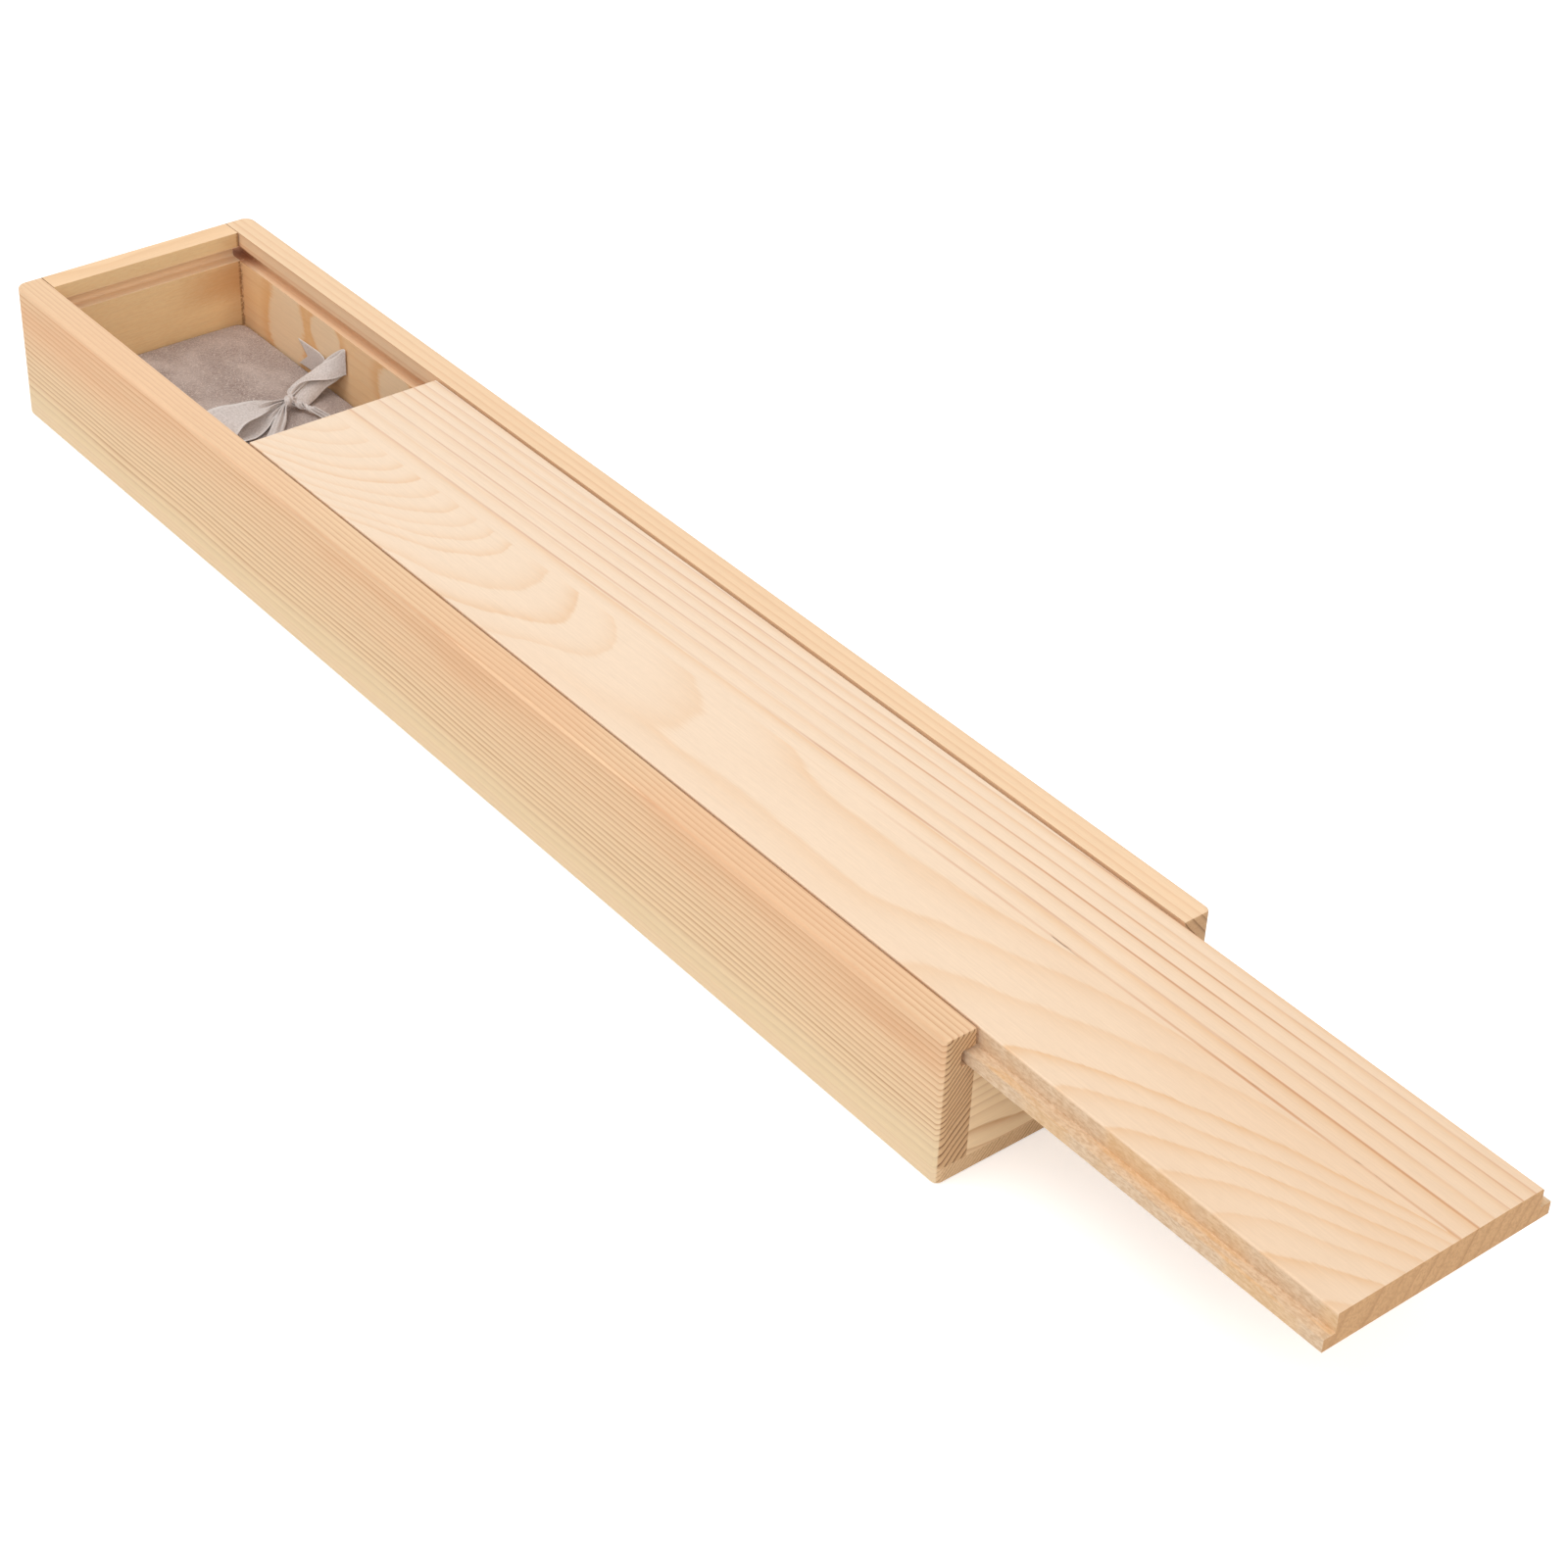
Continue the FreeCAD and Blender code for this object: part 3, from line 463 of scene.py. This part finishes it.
pine_lid = pine("pine_lid", lid_rings, early="#f7dbbd", late="#e9b57c", line=0.62, sharpness=3.0,
                end_early="#d8aa79", end_late="#a67348", end_line=0.45, end_speckle=0.5, tint=lid_tint,
                seed=5.0)
pine_of = {
    "left_side": pine_left, "right_side": pine_right, "bottom_board": pine_bottom,
    "near_end": pine_near_end, "far_end": pine_far_end, "lid": pine_lid,
}
for node, material in pine_of.items():
    board[node].data.materials.clear()
    board[node].data.materials.append(material)
print("pine laid on all boards")

# %% [markdown]
# ## Velvet and ribbon
# Velvet is a short nap: dark between the tufts, paler in clouds, with painted glints, bright tips here and
# there, and a sheen where it is seen at a slant. The ribbon is a fine plain weave, soft and slightly glossy,
# with a painted highlight: a paler band along both edges. Its threads are drawn a little coarser than real
# ones, so that they show.

# %% Velvet and ribbon
RIBBON_WIDTH = 10.0
WARP_SPACING, WEFT_SPACING = 0.42, 0.5


def velvet(name, colour, light, dark, glint):
    """A short nap. dark lies between the tufts, light in paler clouds, and glint, a painted highlight, on the
    tips.
    """
    material, tree, shader, place, facing = start_material(name)
    x, y, z = place
    tufts = noise(tree, [p * 1.4 for p in place], 4.0, 0.75)
    tips = noise(tree, [p * 2.6 for p in place], 2.0, 0.8)
    pale_clouds = noise(tree, (x * 0.09, y * 0.06, z * 0.05), 4.0, 0.6)
    base = mix(tree, tufts.step(0.25, 0.75), dark, colour)
    base = mix(tree, pale_clouds.step(0.4, 0.75) * 0.5, base, light)
    # painted highlight: glints on the tips of the nap
    base = mix(tree, tips.step(0.55, 0.68) * 0.8, base, glint)
    finish_material(tree, shader, base, tufts, strength=0.6, distance=0.7, roughness=0.95)
    shader.inputs["Sheen Weight"].default_value = 0.3
    shader.inputs["Sheen Roughness"].default_value = 0.5
    shader.inputs["Specular IOR Level"].default_value = 0.05
    return material


def woven_ribbon(name, colour, shade, edge_highlight):
    """u runs along the ribbon and v across it, both in millimetres, from the strips' UV map."""
    material, tree, shader, place, facing = start_material(name)
    weave = add_node(tree, "ShaderNodeUVMap", uv_map="ribbon_mm")
    split = add_node(tree, "ShaderNodeSeparateXYZ", {0: weave.outputs[0]})
    u, v = (Wire(tree, split.outputs[k]) for k in (0, 1))
    warp = (v * (math.tau / WARP_SPACING)).math("SINE")
    weft = (u * (math.tau / WEFT_SPACING)).math("SINE")
    slubs = noise(tree, (u * 1.6, v * 1.2, 0.0), 3.0)
    cloth = warp * 0.3 + weft * 0.5 + slubs * 1.2
    base = mix(tree, slubs.step(0.3, 0.7), shade, colour)
    # painted highlight: a paler band along both edges, for the light that they catch
    edge = v.math("ABSOLUTE").step(RIBBON_WIDTH / 2 - 0.9, RIBBON_WIDTH / 2 - 0.5)
    base = mix(tree, edge * 0.6, base, edge_highlight)
    finish_material(tree, shader, base, cloth, strength=0.5, distance=0.08, roughness=0.5)
    shader.inputs["Sheen Weight"].default_value = 0.25
    shader.inputs["Specular IOR Level"].default_value = 0.35
    return material


taupe_velvet = velvet("taupe_velvet", "#beaaa0", "#dccbc1", "#8e7970", "#efe2da")
grey_ribbon = woven_ribbon("grey_ribbon", "#e6dcd7", "#d0c5be", "#efe8e3")
print("velvet and ribbon made")

# %% [markdown]
# ## Making meshes
# A surface is a grid of points from a formula, and faces that join neighbours in the grid.

# %% Making meshes
def new_piece(name, points, faces, material, body):
    """A mesh from points in millimetres, smooth shaded, that rides on a CAD body."""
    mesh = bpy.data.meshes.new(name)
    mesh.from_pydata((points * MM).tolist(), [], faces)
    mesh.shade_smooth()
    mesh.materials.append(material)
    piece = bpy.data.objects.new(name, mesh)
    bpy.context.scene.collection.objects.link(piece)
    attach(piece, body)
    return piece


def grid_faces(rows, columns, wrap=False):
    """Quads of a grid of points, row after row. wrap joins the last column to the first."""
    last = columns if wrap else columns - 1
    row, column = np.meshgrid(np.arange(rows - 1), np.arange(last), indexing="ij")
    beside = (column + 1) % columns
    corners = [row * columns + column, row * columns + beside,
               (row + 1) * columns + beside, (row + 1) * columns + column]
    return np.stack(corners, axis=-1).reshape(-1, 4)


def zipped_faces(first, count, upward):
    """Close a flat ring of count points that is the same on its left and right: quads join point k to
    point count - k, and a triangle closes each end."""
    k = np.arange(1, count // 2 - 1)
    quads = np.stack([k, k + 1, count - k - 1, count - k], axis=-1) + first
    half = count // 2
    ends = np.array([[0, 1, count - 1], [half, half + 1, half - 1]]) + first
    if not upward:
        quads, ends = quads[:, ::-1], ends[:, ::-1]
    return quads.tolist() + ends.tolist()


def rounded_rectangle(half_x, half_y, radius, count):
    """count points evenly along a rounded rectangle, from the middle of its near side, turning left.
    Straight stretches and quarter circles take turns; along each, share runs from 0 to 1."""
    flat_x, flat_y = half_x - radius, half_y - radius
    quarter = math.pi * radius / 2
    lengths = np.array([flat_x, quarter, 2 * flat_y, quarter, 2 * flat_x,
                        quarter, 2 * flat_y, quarter, flat_x])
    ends = np.concatenate([[0], np.cumsum(lengths)])
    along = np.linspace(0, ends[-1], count, endpoint=False)
    part = np.clip(np.searchsorted(ends, along, side="right") - 1, 0, 8)
    share = (along - ends[part]) / np.maximum(lengths[part], 1e-9)
    start_x = np.array([0, 1, 1, 1, 1, -1, -1, -1, -1])[part] * flat_x
    stop_x = np.array([1, 1, 1, 1, -1, -1, -1, -1, 0])[part] * flat_x
    start_y = np.array([-1, -1, -1, 1, 1, 1, 1, -1, -1])[part] * flat_y
    stop_y = np.array([-1, -1, 1, 1, 1, 1, -1, -1, -1])[part] * flat_y
    corner_share = np.where(part % 2 == 1, share, 0)
    turn = (part // 2 + corner_share - 1) * math.pi / 2
    x = start_x + (stop_x - start_x) * share + radius * np.cos(turn)
    y = start_y + (stop_y - start_y) * share + radius * np.sin(turn)
    return x, y


def soft_noise(x, y, scale, seed):
    """Smooth bumps from -1 to 1: the mean of five plane waves in different directions."""
    chooser = np.random.default_rng(seed)
    angle = chooser.uniform(0, math.tau, 5)
    pace = chooser.uniform(0.6, 1.5, 5) * math.tau / scale
    shift = chooser.uniform(0, math.tau, 5)
    waves = np.sin((x[..., None] * np.cos(angle) + y[..., None] * np.sin(angle)) * pace + shift)
    return waves.mean(axis=-1)


print("mesh tools ready")

# %% [markdown]
# ## The pad
# The pad fills the bottom of the box. It is made of rings, each a rounded rectangle. They start at the
# middle of the underside, go out to the sides, up, over the soft upper edge, and in over the crown to the
# middle again. The crown is a shallow arch, z = 1 - (x / half width)^2, that flattens towards the pad's
# ends, a little uneven as a filled pad is. The velvet's nap takes up 0.1 mm of the gap round the CAD pad.

# %% The pad
pad_low, pad_high = extent("pad_cover")
NAP = 0.1
PAD_HALF_X, PAD_HALF_Y = pad_high[0] + NAP, pad_high[1] + NAP
PAD_BASE = pad_low[2]
PAD_SHOULDER = PAD_BASE + 8.9
PAD_CROWN, PAD_EDGE, PAD_CORNER = 1.2, 2.8, 5.0
RING_POINTS = 560


def pad_points():
    """The rings' points. inset is how far a ring lies in from the pad's outline."""
    turn = np.linspace(0, math.pi / 2, 9)
    edge_inset = PAD_EDGE * (1 - np.cos(turn))
    edge_height = PAD_SHOULDER - PAD_EDGE + PAD_EDGE * np.sin(turn)
    middle = PAD_HALF_X - 0.6
    top_inset = np.linspace(PAD_EDGE, middle, 22)[1:]
    inset = np.concatenate([[middle, 1.0, 0.3, 0.0], edge_inset, top_inset])
    height = np.concatenate([[PAD_BASE, PAD_BASE, PAD_BASE + 0.3, PAD_BASE + 1.0], edge_height,
                             np.full(len(top_inset), PAD_SHOULDER)])
    rings = []
    for pulled, level in zip(inset, height):
        radius = max(PAD_CORNER - pulled, 0.3)
        x, y = rounded_rectangle(PAD_HALF_X - pulled, PAD_HALF_Y - pulled, radius, RING_POINTS)
        rings.append(np.stack([x, y, np.full_like(x, level)], axis=-1))
    points = np.array(rings)
    x, y, z = points[..., 0], points[..., 1], points[..., 2]
    lift = np.clip((z - PAD_BASE) / (PAD_SHOULDER - PAD_BASE), 0, 1) ** 2
    inside = np.clip((np.minimum(PAD_HALF_X - abs(x), PAD_HALF_Y - abs(y))) / 8, 0, 1)
    arch = (1 - (x / PAD_HALF_X) ** 2) * np.clip((PAD_HALF_Y - abs(y)) / 20, 0, 1) ** 0.5
    uneven = 0.25 * soft_noise(x, y, 28, 3) + 0.15 * soft_noise(x, y, 9, 4)
    points[..., 2] = z + lift * (arch * (PAD_CROWN - 0.25) + inside * uneven)
    return points


points = pad_points()
rows, columns = points.shape[:2]
pad_faces = grid_faces(rows, columns, wrap=True).tolist()
pad_faces += zipped_faces(0, columns, upward=False)
pad_faces += zipped_faces((rows - 1) * columns, columns, upward=True)
pad = new_piece("velvet_pad", points.reshape(-1, 3), pad_faces, taupe_velvet, "box")
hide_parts("pad_cover", "pad_core")
print(f"pad: {rows} rings of {columns} points")

# %% [markdown]
# ## The ribbon
# Every part of the bow is a strip of the same ribbon. A strip follows a smooth line of keys. Each key is a
# place, the direction across the ribbon, and the share of its width that is spread out there. The share
# passes 1 only at the tip of the left loop, where that direction crosses the ribbon at a slant. Where the
# ribbon is gathered it lies in pleats: waves across it, n of them, whose height a keeps its length across
# near the ribbon's width W. With w the spread width, a = sqrt(2) / (2 pi n) * sqrt(W^2 - w^2), times
# 1.1 - 1.8 w / W, since a gathered ribbon opens into one smooth arch away from the knot.
# An arch lifts the middle of the section, and a negative one makes a gutter of it.

# %% The ribbon
PLEATS = 2.0
CLOTH_THICKNESS = 0.25


def smooth_line(keys, count):
    """A smooth line through the keys, each a row of numbers: Catmull-Rom pieces, evenly sampled."""
    keys = np.asarray(keys, float)
    padded = np.vstack([2 * keys[0] - keys[1], keys, 2 * keys[-1] - keys[-2]])
    at = np.linspace(0, len(keys) - 1, count)
    piece = np.minimum(at.astype(int), len(keys) - 2)
    t = (at - piece)[:, None]
    a, b, c, d = (padded[piece + k] for k in range(4))
    cubic = (2 * a - 5 * b + 4 * c - d) * t ** 2 + (3 * b - a - 3 * c + d) * t ** 3
    return 0.5 * (2 * b + (c - a) * t + cubic)


def strip_points(keys, count=90, across=33, notch=0.0, phase=0.0):
    """Points and weave coordinates of a strip. Keys: x, y, z, across x, y, z, share spread, arch.
    notch is the depth of the swallow-tail cut in the strip's end, and phase moves the pleats across."""
    line = smooth_line(keys, count)
    centre, side = line[:, :3], line[:, 3:6]
    spread = np.clip(line[:, 6], 0.12, 1.5)[:, None] * RIBBON_WIDTH
    arch = line[:, 7:8]
    ahead = np.gradient(centre, axis=0)
    ahead /= np.linalg.norm(ahead, axis=1, keepdims=True)
    side /= np.linalg.norm(side, axis=1, keepdims=True)
    normal = np.cross(ahead, side)
    normal /= np.linalg.norm(normal, axis=1, keepdims=True)
    v = np.linspace(-1, 1, across)[None, :]
    height = math.sqrt(2) / (math.tau * PLEATS) * np.sqrt(np.maximum(RIBBON_WIDTH ** 2 - spread ** 2, 0.0))
    height = height * np.clip(1.1 - spread / RIBBON_WIDTH * 1.8, 0.03, 1)
    wave = np.cos(math.pi * PLEATS * v + phase + 0.8 * np.sin(np.linspace(0, 3, count)[:, None]))
    up = height * wave + arch * (1 - v ** 2) - arch / 2
    points = centre[:, None] + side[:, None] * (v * spread / 2)[..., None] + normal[:, None] * up[..., None]
    if notch:
        near_tip = np.clip((np.arange(count)[:, None] - count * 0.6) / (count * 0.4), 0, 1)
        points = points - ahead[:, None] * (notch * near_tip * (1 - abs(v)))[..., None]
    length = np.concatenate([[0], np.cumsum(np.linalg.norm(np.diff(centre, axis=0), axis=1))])
    weave = np.stack(np.broadcast_arrays(length[:, None], v * RIBBON_WIDTH / 2), axis=-1)
    return points, weave


print("ribbon tools ready")

# %% [markdown]
# ## The bow
# The bow lies in the far half of the box and leans on the right side. Its keys are given, one for
# each bend: both loops leave the knot, turn over at their tip and come back under themselves. One tail
# lies along the wall, one runs to the left, and one is twisted and runs under the lid.

# %% The bow
left_loop = strip_points([
    (12.0, 155.4, 18.2, 0.2, 0.7, 0.7, 0.14, 0.3),
    (8.4, 155.2, 18.8, 0.1, 0.75, 0.65, 0.2, 0.5),
    (4.2, 154.6, 19.3, 0.0, 0.85, 0.5, 0.42, 0.9),
    (-3.0, 153.7, 19.9, -0.17, 0.97, 0.15, 0.93, 0.9),
    (-8.3, 153.2, 20.4, -0.25, 0.95, 0.18, 1.15, 0.7),
    (-11.8, 152.9, 19.6, -0.3, 0.93, 0.2, 1.35, 0.4),
    (-13.8, 152.3, 17.9, -0.32, 0.93, 0.18, 1.35, 0.2),
    (-13.0, 151.2, 16.2, -0.3, 0.95, 0.06, 1.25, 0.0),
    (-9.5, 150.0, 15.5, -0.2, 0.98, 0.0, 1.05, -0.2),
    (-4.5, 149.9, 15.5, -0.1, 0.98, 0.05, 0.95, -0.4),
    (0.5, 151.2, 15.9, -0.2, 0.96, 0.1, 0.7, -0.5),
    (5.5, 153.1, 16.6, -0.3, 0.93, 0.2, 0.36, -0.3),
    (11.4, 154.7, 17.3, 0.0, 0.9, 0.4, 0.14, 0.2),
], count=170)
right_loop = strip_points([
    (12.8, 155.4, 18.6, 0.3, 0.7, 0.6, 0.14, 0.2),
    (15.6, 157.8, 19.4, 0.4, 0.75, -0.3, 0.2, 0.2),
    (20.3, 159.9, 20.4, 0.42, 0.76, -0.3, 0.35, 0.3),
    (26.0, 159.5, 21.6, 0.45, 0.75, 0.25, 0.55, 0.3),
    (30.3, 156.2, 23.6, 0.3, 0.35, 0.88, 0.66, 0.2),
    (32.2, 153.2, 26.2, 0.03, 0.08, 1.0, 0.84, 0.1),
    (32.6, 152.2, 26.8, 0.0, 0.0, 1.0, 0.88, 0.0),
    (32.5, 153.6, 26.4, 0.02, 0.1, 1.0, 0.88, 0.0),
    (31.7, 157.0, 23.4, 0.1, 0.3, 0.95, 0.88, -0.2),
    (28.9, 159.0, 20.6, 0.3, 0.6, 0.74, 0.84, -0.4),
    (25.1, 157.9, 18.7, 0.45, 0.7, 0.55, 0.9, -0.6),
    (20.8, 156.4, 17.8, 0.42, 0.78, 0.46, 0.86, -0.7),
    (17.0, 155.7, 17.4, 0.2, 0.88, 0.43, 0.6, -0.5),
    (13.4, 155.0, 17.5, 0.1, 0.9, 0.4, 0.16, 0.0),
], count=190, phase=1.0)
wall_tail = strip_points([
    (13.2, 155.6, 17.6, -0.3, 0.5, 0.8, 0.16, 0.2),
    (18.5, 158.0, 17.8, -0.2, 0.2, 1, 0.3, 0.2),
    (25.5, 160.0, 18.2, -0.1, 0.1, 1, 0.6, 0.2),
    (30.8, 162.0, 18.8, -0.05, 0, 1, 0.85, 0.1),
    (32.5, 166.5, 18.8, 0.0, 0, 1, 0.88, 0.0),
    (32.7, 173.5, 18.7, 0.0, 0, 1, 0.88, 0.0),
    (32.7, 180.7, 18.3, 0.0, 0, 1, 0.88, 0.0),
], count=80, notch=5.5, phase=0.6)
near_tail = strip_points([
    (12.0, 154.4, 17.9, -0.7, 0.6, 0.1, 0.14, 0.0),
    (9.8, 152.6, 17.5, -0.75, 0.6, 0.1, 0.15, -0.3),
    (8.0, 150.9, 17.0, -0.8, 0.58, 0.1, 0.28, -1.0),
    (5.9, 148.6, 16.6, -0.82, 0.5, 0.1, 0.38, -1.6),
    (1.6, 143.9, 16.2, -0.88, 0.4, 0.1, 0.46, -1.6),
    (-3.0, 138.8, 15.8, -0.85, 0.45, 0.05, 0.68, -1.0),
    (-6.5, 134.4, 15.7, -0.85, 0.5, 0.0, 0.75, -0.3),
], count=80, phase=2.0)
twisted_tail = strip_points([
    (13.4, 154.4, 17.7, 0.9, 0.3, 0.3, 0.16, 0.0),
    (14.6, 153.6, 17.4, 0.1, 0.2, 1.0, 0.17, 0.0),
    (15.6, 152.2, 17.1, -0.9, -0.3, 0.2, 0.18, 0.0),
    (16.4, 150.6, 16.9, -0.2, -0.1, -1.0, 0.18, 0.0),
    (17.3, 148.9, 16.6, 0.8, 0.3, -0.4, 0.2, 0.0),
    (18.2, 146.9, 16.4, 0.9, 0.3, 0.4, 0.18, 0.2),
    (19.0, 143.0, 16.1, 0.95, 0.1, 0.3, 0.2, 0.3),
    (19.6, 137.0, 15.9, 0.95, 0.1, 0.1, 0.28, 0.3),
    (19.9, 129.0, 15.7, 0.95, 0.1, 0.0, 0.45, 0.2),
], count=110, phase=0.4)


def knot_points(centre=(12.5, 154.9, 17.9), length=2.0, girth=1.75, count=64, across=17):
    """A band wrapped once round the gathered ribbon: a barrel whose surface is creased along its turn."""
    turn = np.linspace(0, math.tau, count)[:, None]
    v = np.linspace(-1, 1, across)[None, :]
    crease = 0.18 * np.cos(v * 7.0 + np.sin(turn) * 1.2)
    radius = girth - 0.5 * v ** 2 + crease
    lean = 0.5 * np.sin(turn + 0.6)
    x = centre[0] + length * v + lean
    y = centre[1] + radius * np.cos(turn) * 1.05 + 0.6 * v
    z = centre[2] + 0.1 + radius * np.sin(turn)
    weave = np.stack(np.broadcast_arrays(turn * girth, v * 3.5), axis=-1)
    return np.stack([x, y, z], axis=-1), weave


def join_strips(strips):
    """One mesh's points, faces and weave coordinates from several strips."""
    points, faces, weave, first = [], [], [], 0
    for strip, uv in strips:
        rows, columns = strip.shape[:2]
        points.append(strip.reshape(-1, 3))
        weave.append(uv.reshape(-1, 2))
        faces.append(grid_faces(rows, columns) + first)
        first += rows * columns
    return np.concatenate(points), np.concatenate(faces), np.concatenate(weave)


strips = [left_loop, right_loop, wall_tail, near_tail, twisted_tail, knot_points()]
ribbon_length = sum(uv[:, 0, 0].max() for strip, uv in strips)
points, faces, weave = join_strips(strips)
bow = new_piece("ribbon_bow_tied", points, faces.tolist(), grey_ribbon, "box")
uv = bow.data.uv_layers.new(name="ribbon_mm")
corner = np.zeros(len(bow.data.loops), dtype=np.int32)
bow.data.loops.foreach_get("vertex_index", corner)
uv.data.foreach_set("uv", weave[corner].astype(np.float32).ravel())
thick = bow.modifiers.new("cloth_thickness", "SOLIDIFY")
thick.thickness = CLOTH_THICKNESS * MM
thick.offset = 0.0
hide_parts("ribbon_bow")
ribbon_length * MM
print("bow: ribbon", ribbon_length.round(0), "mm long, lowest", points[:, 2].min().round(1),
      "rightmost", points[:, 0].max().round(1))

# %% [markdown]
# ## Camera, floor and light
# The camera stands where the photograph was taken: about a metre away, up and to the left of the near end.
# Its place, turn and lens were found by fitting the corners of the box to those in the photograph. The
# floor is white paper under three soft boxes in a white studio.

# %% Camera, floor and light
camera_data = bpy.data.cameras.new("camera")
camera_data.lens = 76.72
camera_data.sensor_width = 36.0
camera = bpy.data.objects.new("camera", camera_data)
camera.location = (-0.4504, -0.6498, 0.5449)
camera.rotation_euler = Euler([math.radians(a) for a in (53.88, -2.11, -38.37)], "XYZ")
bpy.context.scene.collection.objects.link(camera)
bpy.context.scene.camera = camera


def make_floor(half_width=6000.0, level=-0.05):
    """White paper that glows a little to the camera, so that it meets the white background unseen."""
    corners = [(-1, -1), (1, -1), (1, 1), (-1, 1)]
    points = [(x * half_width * MM, y * half_width * MM, level * MM) for x, y in corners]
    mesh = bpy.data.meshes.new("floor")
    mesh.from_pydata(points, [], [(0, 1, 2, 3)])
    floor = bpy.data.objects.new("floor", mesh)
    bpy.context.scene.collection.objects.link(floor)
    paper = bpy.data.materials.new("white_paper")
    paper.use_nodes = True
    tree = paper.node_tree
    shader = tree.nodes["Principled BSDF"]
    shader.inputs["Base Color"].default_value = linear("#f4f4f4")
    shader.inputs["Roughness"].default_value = 1.0
    shader.inputs["Specular IOR Level"].default_value = 0.0
    shader.inputs["Emission Color"].default_value = linear("#ffffff")
    seen = add_node(tree, "ShaderNodeLightPath")
    glow = Wire(tree, seen.outputs["Is Camera Ray"]) * 0.45
    tree.links.new(glow.socket, shader.inputs["Emission Strength"])
    mesh.materials.append(paper)


def area_light(name, location, target, size, power):
    """A round white soft box that looks at target. Its size is in metres and its power in watts."""
    data = bpy.data.lights.new(name, "AREA")
    data.shape = "DISK"
    data.size = size
    data.energy = power
    light = bpy.data.objects.new(name, data)
    light.location = location
    light.rotation_euler = (Vector(target) - Vector(location)).to_track_quat("-Z", "Y").to_euler()
    bpy.context.scene.collection.objects.link(light)


make_floor()
area_light("softbox_above", (-0.7, 0.45, 1.7), (0, 0, 0), 1.3, 11)
area_light("softbox_left", (-1.7, -0.5, 0.8), (0, -0.05, 0), 1.2, 2)
area_light("softbox_front", (-0.5, -1.5, 1.2), (0, 0.1, 0), 1.2, 7)

world = bpy.data.worlds.new("studio")
world.use_nodes = True
bpy.context.scene.world = world
background = world.node_tree.nodes["Background"]
background.inputs["Color"].default_value = linear("#ffffff")
seen = add_node(world.node_tree, "ShaderNodeLightPath")
brightness = 0.66 + 0.34 * Wire(world.node_tree, seen.outputs["Is Camera Ray"])
world.node_tree.links.new(brightness.socket, background.inputs["Strength"])
bpy.context.scene.view_settings.view_transform = "Standard"
print("camera and lights set")
